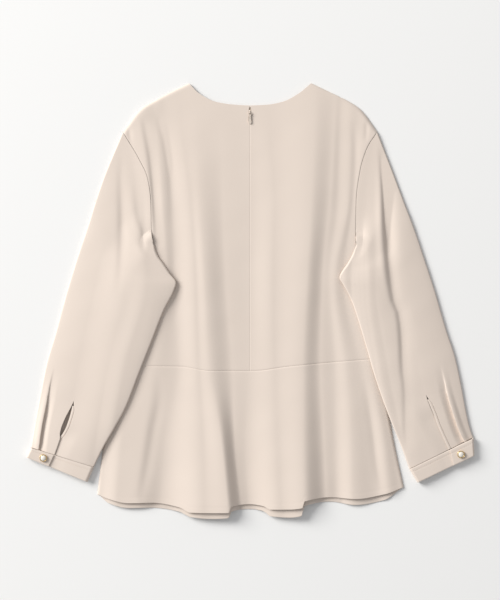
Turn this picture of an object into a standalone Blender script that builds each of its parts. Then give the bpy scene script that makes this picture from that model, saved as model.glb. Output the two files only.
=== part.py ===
# Peplum top with long sleeves, laid flat with its back upwards.
# Tables and sizes are in millimetres: x to the right, y towards the neck, z up from the surface it lies on.
import math

import bmesh
import bpy
import numpy as np
from mathutils import Vector

# Sizes of the cloth and its seams
MM = 0.001
CLOTH = 1.0
SEAM_GAP = 0.4
ROLL = 4.0
FRONT_INSET = 2.3
SHOULDER_INSET = 4.5
CUFF_CLOTH = 1.6
CUFF_HEIGHT = 9.0
EDGE_RADIUS = 3.0

# Zip sizes
ZIP_TAPE_WIDTH = 24.0
ZIP_TAPE_TOP = 2.0
ZIP_TAPE_BOTTOM = 1.3
ZIP_BOTTOM_Y = 132.0
SLIDER_Y = 291.5
SLIDER_LENGTH = 9.0
SLIDER_WIDTH = 2.0
PULL_AXIS_Z = 5.0
PULL_LENGTH = 17.6
PULL_WIDTH = 4.6
PULL_THICKNESS = 1.0
CROWN_RADIUS = 1.9
CROWN_HOLE = 1.05

# Button sizes, 18 ligne
BUTTON_RADIUS = 5.75
PEARL_RADIUS = 4.1

# Shoulder, from the neck point out to the sleeve: distance from the centre, y on the left, y on the right
SHOULDER = [
    ("neck_point", 95.0, 338.0, 338.0),
    ("first_third", 124.0, 324.0, 324.0),
    ("second_third", 147.0, 311.6, 313.0),
    ("bend", 170.0, 297.6, 298.0),
    ("tip", 197.0, 262.5, 262.5),
]
# Back neckline, left to right
BACK_NECK = [
    ("neck_point_left", -95.0, 338.0),
    ("upper_left", -78.0, 321.0),
    ("lower_left", -51.0, 308.0),
    ("centre_left", -20.0, 303.8),
    ("centre", 0.0, 302.8),
    ("centre_right", 24.0, 303.8),
    ("lower_right", 50.0, 308.4),
    ("upper_right", 75.0, 321.0),
    ("neck_point_right", 91.0, 338.0),
]
# Front neckline, hidden under the back, and deeper
FRONT_NECK = [
    ("neck_point_left", -93.0, 335.0),
    ("side_left", -76.0, 296.0),
    ("lower_left", -42.0, 268.0),
    ("centre", -1.0, 260.0),
    ("lower_right", 40.0, 268.0),
    ("side_right", 73.0, 296.0),
    ("neck_point_right", 89.0, 335.0),
]
# Armhole seam from the shoulder tip to the underarm: left x, y, right x, y
ARMHOLE = [
    ("tip", -197.0, 262.5, 197.0, 262.5),
    ("upper", -171.0, 219.0, 181.0, 237.0),
    ("blade", -158.5, 191.0, 170.5, 203.0),
    ("middle", -153.5, 156.0, 164.3, 156.0),
    ("lower", -152.0, 105.0, 163.5, 110.0),
    ("sleeve_fold", -149.5, 90.0, 164.3, 86.0),
    ("under_sleeve", -157.0, 64.0, 168.0, 62.0),
    ("underarm", -175.0, 47.0, 178.0, 44.0),
]
SLEEVE_FOLD_ROW = 5
ARMHOLE_SHARES = [0, 0.0056, 0.018, 0.055, 0.1, 0.16, 0.26, 0.38, 0.48, 0.58, 0.70, 0.82, 0.92, 1]
ARMHOLE_GAP = 0.2
# Side seam from the underarm to the hem corner: left x, y, right x, y
SIDE = [
    ("underarm", -175.0, 47.0, 178.0, 44.0),
    ("waist", -206.0, -100.5, 200.0, -89.0),
    ("peplum_middle", -226.3, -215.5, 222.9, -216.0),
    ("hem_corner", -237.4, -301.0, 238.9, -290.0),
]
# Waist seam, left to right
WAIST = [
    ("side_left", -206.0, -100.5),
    ("left_panel", -108.0, -101.5),
    ("left_drop", -62.0, -108.0),
    ("centre", 3.0, -108.4),
    ("right_rise", 59.0, -101.4),
    ("right_fold", 93.0, -98.0),
    ("side_right", 200.0, -89.0),
]
# Hem, left to right: x, y of the front hem, y of the back hem
HEM = [
    ("corner_left", -237.4, -301.0, -300.0),
    ("left_turn", -223.0, -312.8, -305.8),
    ("left_bulge", -189.0, -320.6, -312.8),
    ("left_valley", -155.0, -320.2, -312.4),
    ("ridge_start", -108.5, -326.4, -319.4),
    ("ridge_left", -93.0, -334.0, -327.0),
    ("ridge_middle", -62.0, -336.9, -327.4),
    ("ridge_edge", -32.8, -335.6, -327.0),
    ("valley_start", -29.0, -325.4, -317.8),
    ("centre", 0.0, -322.4, -314.8),
    ("second_start", 21.0, -325.2, -317.4),
    ("second_left", 31.0, -333.0, -322.4),
    ("second_middle", 60.0, -335.0, -322.0),
    ("second_edge", 81.2, -332.0, -319.4),
    ("drop_foot", 83.4, -317.0, -309.4),
    ("right_valley", 124.0, -310.9, -304.0),
    ("right_bulge", 163.0, -316.0, -306.4),
    ("right_turn", 209.0, -308.6, -299.4),
    ("corner_right", 238.9, -290.0, -289.0),
]
# Fold lines of the back, left to right. Each has an x and a height at these levels.
LEVELS = [338.0, 300.0, 157.0, 33.0, -100.0, -215.0, -316.0]
FOLDS = [
    ("side_left", [-200, -199, -178, -178, -206, -226, -239], [3.0, 3.0, 3.6, 2.4, 2.2, 2.2, 2.0]),
    ("plateau_left", [-166, -166, -150, -145, -178, -198, -206], [3.0, 3.6, 5.4, 4.6, 4.2, 5.4, 7.0]),
    ("plateau_edge", [-146, -146, -138, -130, -150, -166, -176], [2.8, 2.8, 5.0, 4.6, 4.6, 5.6, 7.4]),
    ("valley_left", [-132, -130, -119, -116, -113, -130, -137], [2.4, 2.4, 3.0, 2.8, 2.6, 2.4, 2.2]),
    ("first_rise", [-112, -110, -96, -90, -86, -82, -82], [2.4, 2.6, 5.6, 6.6, 6.4, 9.0, 13.0]),
    ("first_edge", [-86, -84, -74, -70, -66, -44, -34], [2.4, 2.8, 6.0, 8.0, 7.6, 12.0, 15.0]),
    ("first_foot", [-46, -44, -40, -38, -35, -33.5, -28.5], [2.2, 2.6, 3.4, 3.4, 3.2, 3.0, 3.0]),
    ("centre", [0, 0, 0, 0, -6, -12, -14], [2.4, 2.5, 2.8, 2.8, 2.6, 2.5, 2.5]),
    ("second_rise", [28, 28, 38, 34, 38, 32, 30], [2.4, 2.6, 4.6, 5.6, 5.4, 8.0, 12.0]),
    ("second_edge", [80, 82, 84, 80, 74, 78, 80.6], [2.4, 2.8, 6.6, 8.4, 7.4, 11.0, 15.0]),
    ("second_foot", [118, 118, 114, 106, 96, 88, 85], [2.2, 2.4, 3.2, 3.0, 3.2, 3.0, 3.2]),
    ("valley_right", [136, 136, 128, 120, 114, 116, 120], [2.4, 2.4, 2.8, 2.6, 2.4, 2.2, 2.2]),
    ("third_ridge", [150, 152, 148, 146, 148, 158, 160], [2.6, 2.8, 4.6, 5.2, 4.8, 5.6, 6.6]),
    ("third_foot", [168, 168, 160, 158, 168, 190, 198], [2.6, 2.6, 3.0, 3.4, 3.2, 3.2, 3.4]),
    ("plateau_right", [184, 184, 168, 168, 184, 206, 216], [2.6, 2.8, 3.2, 3.2, 3.6, 4.2, 5.0]),
    ("side_right", [199, 199, 182, 181, 200, 223, 240], [2.6, 2.6, 3.0, 2.4, 2.2, 2.2, 2.0]),
]
# Sleeve sections from the armhole to the cuff seam: outer edge x, y, inner edge x, y,
# height in the middle, place of the slit across the width, place of the pleat, depth of the long valley
SLEEVE_LEFT = [
    ("armhole", -197.0, 262.5, -149.5, 90.0, 5.0, 0.40, 0.16, 0.0),
    ("cap", -226.8, 190.7, -141.5, 70.0, 7.0, 0.40, 0.16, 0.6),
    ("upper_arm", -241.5, 147.3, -132.0, 57.0, 9.0, 0.40, 0.16, 0.8),
    ("flap", -249.5, 121.0, -122.5, 42.0, 10.5, 0.40, 0.15, 0.8),
    ("flap_corner", -257.5, 97.0, -114.0, 28.5, 11.0, 0.40, 0.14, 0.6),
    ("below_corner", -268.5, 64.0, -118.5, 14.0, 11.0, 0.40, 0.13, 0.4),
    ("elbow_top", -284.0, 13.0, -133.0, -14.0, 11.0, 0.40, 0.12, 0.2),
    ("elbow", -302.0, -53.0, -153.5, -66.0, 11.0, 0.40, 0.10, 0.0),
    ("forearm", -315.0, -97.0, -171.0, -110.0, 11.0, 0.40, 0.09, 0.0),
    ("slit_top", -325.0, -148.0, -191.5, -163.0, 10.5, 0.395, 0.08, 0.0),
    ("slit", -331.0, -180.0, -208.0, -194.0, 10.0, 0.38, 0.08, 0.0),
    ("above_cuff", -335.5, -206.0, -225.5, -224.0, 9.0, 0.37, 0.09, 0.0),
    ("cuff_seam", -339.0, -226.5, -241.5, -256.5, 8.0, 0.36, 0.11, 0.0),
]
SLEEVE_RIGHT = [
    ("armhole", 197.0, 262.5, 164.3, 86.0, 5.0, 0.46, 0.22, 0.4),
    ("cap", 221.7, 198.4, 154.5, 65.5, 7.0, 0.46, 0.22, 2.6),
    ("upper_arm", 240.9, 147.3, 147.5, 55.0, 9.0, 0.46, 0.22, 3.4),
    ("flap", 251.4, 120.0, 142.5, 48.0, 10.5, 0.46, 0.22, 3.4),
    ("flap_corner", 260.6, 94.0, 138.0, 36.5, 11.0, 0.46, 0.21, 3.2),
    ("below_corner", 269.5, 67.0, 144.0, 25.5, 11.0, 0.46, 0.20, 3.0),
    ("elbow_top", 285.0, 20.0, 156.0, 3.0, 11.0, 0.46, 0.20, 2.6),
    ("elbow", 304.0, -45.0, 178.0, -65.0, 11.0, 0.46, 0.20, 2.2),
    ("forearm", 317.5, -86.0, 190.0, -107.0, 11.0, 0.46, 0.20, 1.4),
    ("slit_top", 328.0, -134.0, 206.5, -156.0, 10.5, 0.46, 0.19, 0.6),
    ("slit", 334.0, -167.0, 219.5, -190.0, 10.0, 0.43, 0.17, 0.2),
    ("above_cuff", 340.0, -194.0, 232.0, -220.0, 9.0, 0.40, 0.15, 0.0),
    ("cuff_seam", 345.5, -211.0, 246.5, -259.5, 8.0, 0.373, 0.128, 0.0),
]
SLIT_TOP_ROW = 9
BINDING_WIDTH = 4.4
# Cuff corners: outer edge at the seam, inner edge at the seam, outer edge at the hem, inner edge at the hem
CUFF_LEFT = [(-339.4, -227.0), (-241.6, -257.0), (-346.5, -241.5), (-251.5, -280.0)]
CUFF_RIGHT = [(346.0, -211.9), (246.6, -260.0), (347.5, -239.0), (259.0, -281.0)]
BUTTON_LEFT = (-319.2, -242.6)
BUTTON_RIGHT = (326.0, -237.0)
# Width of the open slit along its length, from its top to the cuff seam; below zero the edges overlap
SLIT_LEFT_GAP = [(0.0, 0.0), (0.12, 3.0), (0.28, 6.6), (0.42, 7.6), (0.56, 5.0), (0.68, -1.6), (1.0, -2.4)]
SLIT_RIGHT_GAP = [(0.0, 0.0), (0.12, 0.9), (0.3, 0.6), (0.5, -1.2), (1.0, -2.4)]


# Smooth curve through values that never overshoots them
def smooth(at, values, where):
    at = np.asarray(at, float)
    values = np.asarray(values, float)
    where = np.asarray(where, float)
    if at[0] > at[-1]:
        at, values = at[::-1], values[::-1]
    gap = np.diff(at)
    slope = np.diff(values) / gap
    tangent = np.zeros_like(values)
    tangent[0] = slope[0]
    tangent[-1] = slope[-1]
    for k in range(1, len(values) - 1):
        if slope[k - 1] * slope[k] > 0:
            tangent[k] = 2 * slope[k - 1] * slope[k] / (slope[k - 1] + slope[k])
    k = np.clip(np.searchsorted(at, where, side="right") - 1, 0, len(gap) - 1)
    t = np.clip((where - at[k]) / gap[k], 0, 1)
    a = values[k]
    b = values[k + 1]
    p = tangent[k] * gap[k]
    q = tangent[k + 1] * gap[k]
    return a + p * t + (3 * (b - a) - 2 * p - q) * t**2 + (2 * (a - b) + p + q) * t**3


# Points along a table's rows, at fractions of its length
def along(points, fractions):
    points = np.asarray(points, float)
    steps = np.hypot(*np.diff(points, axis=0).T)
    at = np.concatenate([[0], np.cumsum(steps)]) / steps.sum()
    return np.stack([smooth(at, points[:, 0], fractions), smooth(at, points[:, 1], fractions)], axis=-1)


def ease(t):
    t = np.clip(t, 0, 1)
    return t * t * (3 - 2 * t)


# Distance from points to an open line, or to a closed one with its inside below zero
def distance(points, line, closed=False):
    points = np.asarray(points, float)
    line = np.asarray(line, float)
    ends = np.roll(line, -1, axis=0) if closed else line[1:]
    starts = line if closed else line[:-1]
    best = np.full(points.shape[:-1], 1e9)
    inside = np.zeros(points.shape[:-1], bool)
    for a, b in zip(starts, ends):
        t = np.clip(((points - a) @ (b - a)) / ((b - a) @ (b - a)), 0, 1)
        best = np.minimum(best, np.linalg.norm(points - (a + t[..., None] * (b - a)), axis=-1))
        crosses = (a[1] > points[..., 1]) != (b[1] > points[..., 1])
        height = b[1] - a[1] if b[1] != a[1] else 1e-9
        inside ^= crosses & (points[..., 0] < (b[0] - a[0]) * (points[..., 1] - a[1]) / height + a[0])
    return np.where(inside, -best, best) if closed else best


# Edges of the body on one side, as points
def shoulder(side):
    column = 2 if side < 0 else 3
    return along([(side * row[1], row[column]) for row in SHOULDER], np.linspace(0, 1, 30))


# The armhole in two stretches: down to where the sleeve folds over the body, and on under it
def armhole(side):
    column = 1 if side < 0 else 3
    points = np.array([(row[column], row[column + 1]) for row in ARMHOLE])
    steps = np.hypot(*np.diff(points, axis=0).T)
    at = np.concatenate([[0], np.cumsum(steps)])
    seen = np.linspace(0, at[SLEEVE_FOLD_ROW], 60)
    hidden = np.linspace(at[SLEEVE_FOLD_ROW], at[-1], 12)
    lines = [np.stack([smooth(at, points[:, 0], d), smooth(at, points[:, 1], d)], axis=-1) for d in (seen, hidden)]
    return lines


# The body's outer edge beside the sleeve: points at fractions of each stretch, then down the side seam
def outer_edge(side, seen, hidden, below, by, shoulder_by, seam_y):
    arm, under = armhole(side)
    shoulder_end = inset(shoulder(side), -side, shoulder_by)[-1]
    column = 2 if side < 0 else 4
    seam = inset(side_seam(side, bottom=SIDE[1][column]), -side, by)
    upper = along(arm, seen)
    upper[:, 0] -= side * ARMHOLE_GAP
    upper[0] = shoulder_end
    middle = along(under, hidden)
    middle[-1] = seam[0]
    lower = along(seam, below)
    lower[-1, 1] = seam_y(lower[-1, 0]) + SEAM_GAP / 2
    return np.concatenate([upper, middle, lower])


def side_x(side, y):
    column = 1 if side < 0 else 3
    return smooth([row[column + 1] for row in SIDE], [row[column] for row in SIDE], y)


def side_seam(side, top=None, bottom=None, count=36):
    column = 2 if side < 0 else 4
    top = SIDE[0][column] if top is None else top
    bottom = SIDE[-1][column] if bottom is None else bottom
    y = np.linspace(top, bottom, count)
    return np.stack([side_x(side, y), y], axis=-1)


def waist_y(x):
    return smooth([row[1] for row in WAIST], [row[2] for row in WAIST], x)


# The front's waist seam, hidden, runs straight from side to side
def front_waist_y(x):
    return np.interp(x, [WAIST[0][1], WAIST[-1][1]], [WAIST[0][2], WAIST[-1][2]])


def hem_y(x, column):
    return smooth([row[1] for row in HEM], [row[column] for row in HEM], x)


# Height of the back's underside over the surface, from the fold lines
FOLD_X = np.array([row[1] for row in FOLDS], float)
FOLD_Z = np.array([row[2] for row in FOLDS], float)


def fold_lines(y):
    xs = np.stack([smooth(LEVELS, line, y) for line in FOLD_X])
    zs = np.stack([smooth(LEVELS, line, y) for line in FOLD_Z])
    return xs, zs


def fold_height(points):
    x = points[..., 0]
    xs, zs = fold_lines(points[..., 1])
    height = zs[0].copy()
    for k in range(len(xs) - 1):
        t = (x - xs[k]) / np.maximum(xs[k + 1] - xs[k], 0.5)
        height = np.where(t > 0, zs[k] + (zs[k + 1] - zs[k]) * ease(t), height)
    return height


# The back rolls down to the surface along its shoulders and side seams
def roll_down(points, radius):
    near = np.full(points.shape[:-1], 1e9)
    for side in (-1, 1):
        near = np.minimum(near, distance(points, inset(shoulder(side), -side)))
        near = np.minimum(near, distance(points, inset(side_seam(side), -side)))
    return np.sqrt(np.clip(1 - (1 - np.clip(near / radius, 0, 1)) ** 2, 0, 1))


# A line moved inwards by the cloth's thickness
def inset(line, side, by=CLOTH):
    line = np.asarray(line, float)
    run = np.gradient(line, axis=0)
    run /= np.linalg.norm(run, axis=1)[:, None]
    return line + side * by * np.stack([-run[:, 1], run[:, 0]], axis=1)


def back_height(points):
    return fold_height(points) * roll_down(points, ROLL)


def front_height(points):
    near = np.full(points.shape[:-1], 1e9)
    for side in (-1, 1):
        near = np.minimum(near, distance(points, side_seam(side)))
    below = np.clip((waist_y(points[..., 0]) - points[..., 1]) / 190, 0, 1)
    lift = np.clip(fold_height(points) - 3.4, 0, None)
    return 0.62 * lift * ease(below) * ease((near - 6) / 14)


# A grid surface with a point for each row and column, given a thickness
def sheet(name, points, material, collection, thickness=CLOTH, tube=False, inwards=False):
    rows, columns = points.shape[:2]
    mesh = bpy.data.meshes.new(name)
    bm = bmesh.new()
    bmesh.ops.create_grid(bm, x_segments=columns - 1, y_segments=rows - 1, size=1)
    bm.verts.ensure_lookup_table()
    for vertex, place in zip(bm.verts, points.reshape(-1, 3)):
        vertex.co = place * MM
    bmesh.ops.remove_doubles(bm, verts=bm.verts, dist=0.00001)
    bmesh.ops.recalc_face_normals(bm, faces=bm.faces)
    middle = sum((vertex.co for vertex in bm.verts), Vector()) / len(bm.verts)
    facing = sum(face.normal.z * face.calc_area() for face in bm.faces)
    if tube:
        facing = sum(face.normal.dot(face.calc_center_median() - middle) * face.calc_area() for face in bm.faces)
    if facing < 0:
        bmesh.ops.reverse_faces(bm, faces=bm.faces)
    bm.to_mesh(mesh)
    bm.free()
    obj = bpy.data.objects.new(name, mesh)
    collection.objects.link(obj)
    mesh.materials.append(material)
    mesh.shade_smooth()
    shell = obj.modifiers.new("cloth", "SOLIDIFY")
    shell.thickness = thickness * MM
    shell.offset = -1 if inwards else 1
    return obj


def with_height(plan, height):
    return np.concatenate([plan, height[..., None]], axis=-1)


# A patch between four curves: top and bottom across, start and end down the sides
def patch(top, bottom, start, end, across, down):
    u = np.asarray(across)[None, :, None]
    v = np.asarray(down)[:, None, None]
    corners = (1 - u) * (1 - v) * top[0] + u * (1 - v) * top[-1] + (1 - u) * v * bottom[0] + u * v * bottom[-1]
    edges = (1 - v) * top[None] + v * bottom[None] + (1 - u) * start[:, None] + u * end[:, None]
    return edges - corners


def material(name, colour, roughness, metallic=0.0):
    mat = bpy.data.materials.new(name)
    mat.use_nodes = True
    shader = mat.node_tree.nodes["Principled BSDF"]
    shader.inputs["Base Color"].default_value = (*colour, 1.0)
    shader.inputs["Roughness"].default_value = roughness
    shader.inputs["Metallic"].default_value = metallic
    return mat


# Half of the back bodice, from the centre-back seam out to the armhole and side seam
def back_bodice(side, material, collection):
    neck_rows = np.array([row[1:3] for row in BACK_NECK], float)
    neck_rows = neck_rows[4:] if side > 0 else neck_rows[4::-1]
    shoulder_rows = inset(shoulder(side), -side)
    neck_rows[-1] = shoulder_rows[0]
    across = [0, 0.05, 0.12, 0.2, 0.28, 0.36, 0.44, 0.52, 0.6, 0.68, 0.76, 0.84, 0.91, 0.955, 0.98, 0.992, 1]
    outer = outer_edge(side, ARMHOLE_SHARES, [0.5, 1], [0.25, 0.5, 0.75, 1], CLOTH, CLOTH, waist_y)
    down = [0.46 * share for share in ARMHOLE_SHARES] + [0.53, 0.6, 0.7, 0.8, 0.9, 1]
    neck_share = 0.52
    fractions = np.array(across)
    on_neck = fractions <= neck_share
    top = np.empty((len(across), 2))
    top[on_neck] = along(neck_rows, fractions[on_neck] / neck_share)
    top[~on_neck] = along(shoulder_rows, (fractions[~on_neck] - neck_share) / (1 - neck_share))
    centre_y = np.interp(down, [0, 1], [neck_rows[0, 1], waist_y(0.0) + SEAM_GAP / 2])
    opening = 1.4 * (1 - ease((np.abs(centre_y - SLIDER_Y) - SLIDER_LENGTH / 2 - 1) / 6))
    centre = np.stack([side * (SEAM_GAP / 2 + opening), centre_y], axis=-1)
    top[0] = centre[0]
    bottom_x = centre[-1, 0] + (outer[-1, 0] - centre[-1, 0]) * np.array(across)
    bottom = np.stack([bottom_x, waist_y(bottom_x) + SEAM_GAP / 2], axis=-1)
    plan = patch(top, bottom, centre, outer, across, down)
    name = "back_bodice_right" if side > 0 else "back_bodice_left"
    return sheet(name, with_height(plan, back_height(plan)), material, collection)


def front_bodice(material, collection):
    left = inset(shoulder(-1), 1, SHOULDER_INSET)
    right = inset(shoulder(1), -1, SHOULDER_INSET)
    neck = np.array([row[1:3] for row in FRONT_NECK], float)
    neck[0] = left[0]
    neck[-1] = right[0]
    across = [0, 0.08, 0.16, 0.24, 0.3, 0.37, 0.44, 0.5, 0.56, 0.63, 0.7, 0.76, 0.84, 0.92, 1]
    seen = ARMHOLE_SHARES[:1] + ARMHOLE_SHARES[5:]
    down = [0.46 * share for share in seen] + [0.53, 0.6, 0.8, 1]
    fractions = np.array(across)
    top = np.empty((len(across), 2))
    on_left = fractions <= 0.24
    on_right = fractions >= 0.76
    on_neck = ~on_left & ~on_right | np.isclose(fractions, 0.24) | np.isclose(fractions, 0.76)
    top[on_left] = along(left[::-1], fractions[on_left] / 0.24)
    top[on_right] = along(right, (fractions[on_right] - 0.76) / 0.24)
    top[on_neck] = along(neck, (fractions[on_neck] - 0.24) / 0.52)
    insets = (FRONT_INSET, SHOULDER_INSET)
    edges = [outer_edge(side, seen, [0.5, 1], [0.5, 1], *insets, front_waist_y) for side in (-1, 1)]
    bottom_x = edges[0][-1, 0] + (edges[1][-1, 0] - edges[0][-1, 0]) * np.array(across)
    bottom = np.stack([bottom_x, front_waist_y(bottom_x) + SEAM_GAP / 2], axis=-1)
    plan = patch(top, bottom, edges[0], edges[1], across, down)
    return sheet("front_bodice", with_height(plan, front_height(plan) * 0), material, collection)


# A peplum runs along the fold lines from the waist seam to the hem
def peplum(name, seam_y, hem_column, edge_inset, between, down, height, material, collection):
    starts = np.array([smooth(LEVELS, line, -104) for line in FOLD_X])
    middles = np.array([smooth(LEVELS, line, -215) for line in FOLD_X])
    ends = np.array([smooth(LEVELS, line, -316) for line in FOLD_X])
    places = []
    for k, count in enumerate(between):
        places += [k + step / count for step in range(count)]
    places = np.array(places + [len(between)])
    for step in (1.0, 4.0):
        places = np.append(places, [step / 30, len(between) - step / 16])
    places = np.sort(places)
    index = np.arange(len(starts))
    columns = [np.interp(places, index, line) for line in (starts, middles, ends)]
    v = np.array(down)
    x = np.stack([smooth([0, 0.54, 1], [a, b, c], v) for a, b, c in zip(*columns)], axis=1)
    top_y = seam_y(x[0]) - SEAM_GAP / 2
    bottom_y = hem_y(x[-1], hem_column)
    y = top_y[None] * (1 - v[:, None]) + bottom_y[None] * v[:, None]
    for side, outside, step in ((-1, x[:, 0], (x - x[:, :1]) / (x[:, 8:9] - x[:, :1])),
                                (1, x[:, -1], (x[:, -1:] - x) / (x[:, -1:] - x[:, -9:-8]))):
        column = 0 if side < 0 else -1
        edge = np.stack([side_x(side, y[:, column]), y[:, column]], axis=-1)
        move = inset(edge, -side, edge_inset)[:, 0] - outside
        x = x + move[:, None] * (1 - ease(step))
    plan = np.stack([x, y], axis=-1)
    return sheet(name, with_height(plan, height(plan)), material, collection)



# Height of the top of the body where a sleeve lies over it, fading to the surface beside it
def support(side, points, start, ramp, clearance):
    under = armhole(side)[1]
    seam = side_seam(side)
    inner = [(side * 60.0, seam[-1, 1]), (side * 60.0, under[0, 1])]
    outside = distance(points, np.concatenate([under, seam[1:], inner]), closed=True)
    highest = np.max([fold_height(points + np.array([step, 0.0])) for step in (-14, -7, 0, 7, 14)], axis=0)
    return (highest + CLOTH + clearance) * (1 - ease((outside - start) / ramp))


def section(rows, column, t):
    return smooth(np.arange(len(rows)), [row[column] for row in rows], t)


# Place on a sleeve: t is the section, w runs from the outer edge to the inner one, face is 1 on top
def sleeve_surface(side, rows, t, w, face, lap):
    at_edge = (w < 1e-6) | (w > 1 - 1e-6)
    outer = np.stack([section(rows, 1, t), section(rows, 2, t)], axis=-1)
    inner = np.stack([section(rows, 3, t), section(rows, 4, t)], axis=-1)
    width = np.linalg.norm(inner - outer, axis=-1)
    w = CLOTH / width + w * (1 - 2 * CLOTH / width)
    arm = armhole(side)[0]
    bow = along(arm, w) - arm[0] - w[..., None] * (arm[-1] - arm[0])
    bow[..., 0] += side * 0.9
    bow[..., 1] -= 0.7 * (1 - w)
    sag = 32 * np.sin(np.pi * np.clip(t / 9, 0, 1)) ** 0.7 * np.sin(np.pi * w)
    plan = outer + w[..., None] * (inner - outer) + bow * (np.clip(1 - t / 4, 0, 1) ** 1.6)[..., None]
    plan = plan + sag[..., None] * np.array([side * 0.45, -0.9])
    turn = 240 * (1 - w) * np.exp(-(1 - w) / 0.12) * ease(t / 0.6) * (1 - ease((t - 2) / 3))
    plan = plan + turn[..., None] * np.array([side * 0.95, -0.3])
    low = support(side, plan, 8.0, 18.0, 0.6)
    full = 2 * EDGE_RADIUS
    middle = section(rows, 5, t)
    edge = np.minimum(full, middle)
    thick = edge + (middle - edge) * np.sin(np.pi * np.clip(w, 0, 1)) ** 0.7
    top = support(side, plan, 4.0, 55.0, 0.6) + thick
    valley_at = np.interp(t, [0, 4, 10, 12], [0.28, 0.36, 0.68, 0.72])
    valley = section(rows, 8, t)
    top = top - valley * np.exp(-(((w - valley_at) / 0.06) ** 2))
    top = top + 0.5 * valley * np.exp(-(((w - valley_at - 0.15) / 0.08) ** 2))
    pleat = ease((t - 8.3) / 2.4) * (1 - 0.35 * ease((t - 11.4) / 0.6))
    past = w - section(rows, 7, t)
    lobe = np.where(past < 0, 2.4 * (1 - ease(-past / 0.08)), 2.4 - 5.2 * ease(past / 0.03))
    lobe = np.where(past > 0.03, -2.8 * (1 - ease((past - 0.03) / 0.12)), lobe)
    top = top + pleat * lobe
    tucked = w - section(rows, 6, t)
    under = ease((t - (10.2 if side < 0 else 9.4)) / 0.9)
    top = top - lap * 1.9 * under * (1 - ease(tucked / 0.25))
    start = np.maximum(back_height(plan) + CLOTH, low + 4.4)
    top = top + (start - top) * ease(1 - t / 1.4)
    top = np.maximum(top, low + 4.4)
    low = low + CLOTH
    top = top - CLOTH
    half = 0.5 * np.minimum(full - 2 * CLOTH, top - low)
    stations = np.linspace(0, len(rows) - 1, 80)
    edges = [np.stack([section(rows, c, stations), section(rows, c + 1, stations)], axis=-1) for c in (1, 3)]
    near = np.minimum(distance(plan, edges[0]), distance(plan, edges[1])) - CLOTH
    near = near / (EDGE_RADIUS - CLOTH)
    near = np.where(at_edge, 0, near)
    bend = np.sqrt(np.clip(1 - (1 - np.clip(near, 0, 1)) ** 2, 0, 1))
    height = np.where(face > 0, low + half + (top - low - half) * bend, low + half - half * bend)
    return np.concatenate([plan, height[..., None]], axis=-1), width


# Distance of each slit edge from the slit's line, towards the cuff's inner end
def slit_edges(side, t):
    gaps = SLIT_LEFT_GAP if side < 0 else SLIT_RIGHT_GAP
    share = np.clip((t - SLIT_TOP_ROW) / (12 - SLIT_TOP_ROW), 0, 1)
    gap = np.interp(share, [row[0] for row in gaps], [row[1] for row in gaps])
    bound = BINDING_WIDTH * ease(share / 0.16)
    return gap, bound, share


def sleeve(side, rows, material, collection):
    down = [0, 0.6, 1.3, 2.1, 2.8, 3.4, 4, 4.5, 5, 6, 7, 8, 8.6, 9, 9.3, 9.6, 9.9, 10.3, 10.7, 11.1, 11.5, 12]
    t = np.array(down)
    slit = section(rows, 6, t)
    pleat = section(rows, 7, t)
    width = sleeve_surface(side, rows, t, t * 0, t * 0, 0)[1]
    gap, bound, share = slit_edges(side, t)
    bound_outer = bound * (side > 0)
    bound_inner = bound * (side < 0)
    columns = [(slit + (gap / 2 + bound_inner) / width, 1)]
    columns += [(slit + f * (1 - slit), 1) for f in (0.14, 0.3, 0.5, 0.7, 0.87)]
    inner_count = len(columns)
    skew = (1 + 2.2 * np.clip(1 - t / 4, 0, 1)) / width
    columns += [(1 - 3.2 * skew, 1), (1 - 1.0 * skew, 1), (1 + 0 * t, 1)]
    columns += [(1 - 1.0 * skew, -1), (1 - 3.2 * skew, -1)]
    columns += [(f + 0 * t, -1) for f in (0.8, 0.6, 0.4, 0.2)]
    columns += [(3.2 / width, -1), (1.0 / width, -1), (0 * t, 1), (1.0 / width, 1), (3.2 / width, 1)]
    columns += [(pleat - 0.01, 1), (pleat + 0.03, 1)]
    columns += [(pleat + 0.03 + f * (slit - pleat - 0.03), 1) for f in (0.4, 0.75)]
    columns += [(slit - (gap / 2 + bound_outer) / width, 1)]
    w = np.stack([column[0] for column in columns], axis=1)
    face = np.stack([column[1] + 0 * t for column in columns], axis=1)
    lap = (np.arange(len(columns)) < inner_count) * 1.0
    points = sleeve_surface(side, rows, t[:, None] + 0 * w, w, face, lap)[0]
    name = "sleeve_right" if side > 0 else "sleeve_left"
    obj = sheet(name, points, material, collection, tube=True)
    thin_near(obj, armhole(side)[0][-1], 20.0)
    return obj


# The cloth is drawn thin where the sleeve's fold runs into the armhole seam
def thin_near(obj, place, reach):
    group = obj.vertex_groups.new(name="cloth")
    for vertex in obj.data.vertices:
        away = math.hypot(vertex.co.x / MM - place[0], vertex.co.y / MM - place[1])
        group.add([vertex.index], 0.45 + 0.55 * float(ease(away / reach)), "REPLACE")
    obj.modifiers["cloth"].vertex_group = "cloth"


# The bound edge is a strip that carries on from the cloth's cut edge to the slit
def slit_binding(side, rows, material, collection):
    t = np.array([9.3, 9.6, 9.9, 10.3, 10.7, 11.1, 11.5, 12])
    slit = section(rows, 6, t)
    width = sleeve_surface(side, rows, t, t * 0, t * 0, 0)[1]
    gap, bound, share = slit_edges(side, t)
    near = slit - side * (gap / 2) / width
    far = slit - side * (gap / 2 + bound - SEAM_GAP) / width
    w = np.stack([near, far], axis=1)
    points = sleeve_surface(side, rows, t[:, None] + 0 * w, w, 1 + 0 * w, 1.0 * (side < 0))[0]
    name = "slit_binding_right" if side > 0 else "slit_binding_left"
    return sheet(name, points, material, collection)


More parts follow.
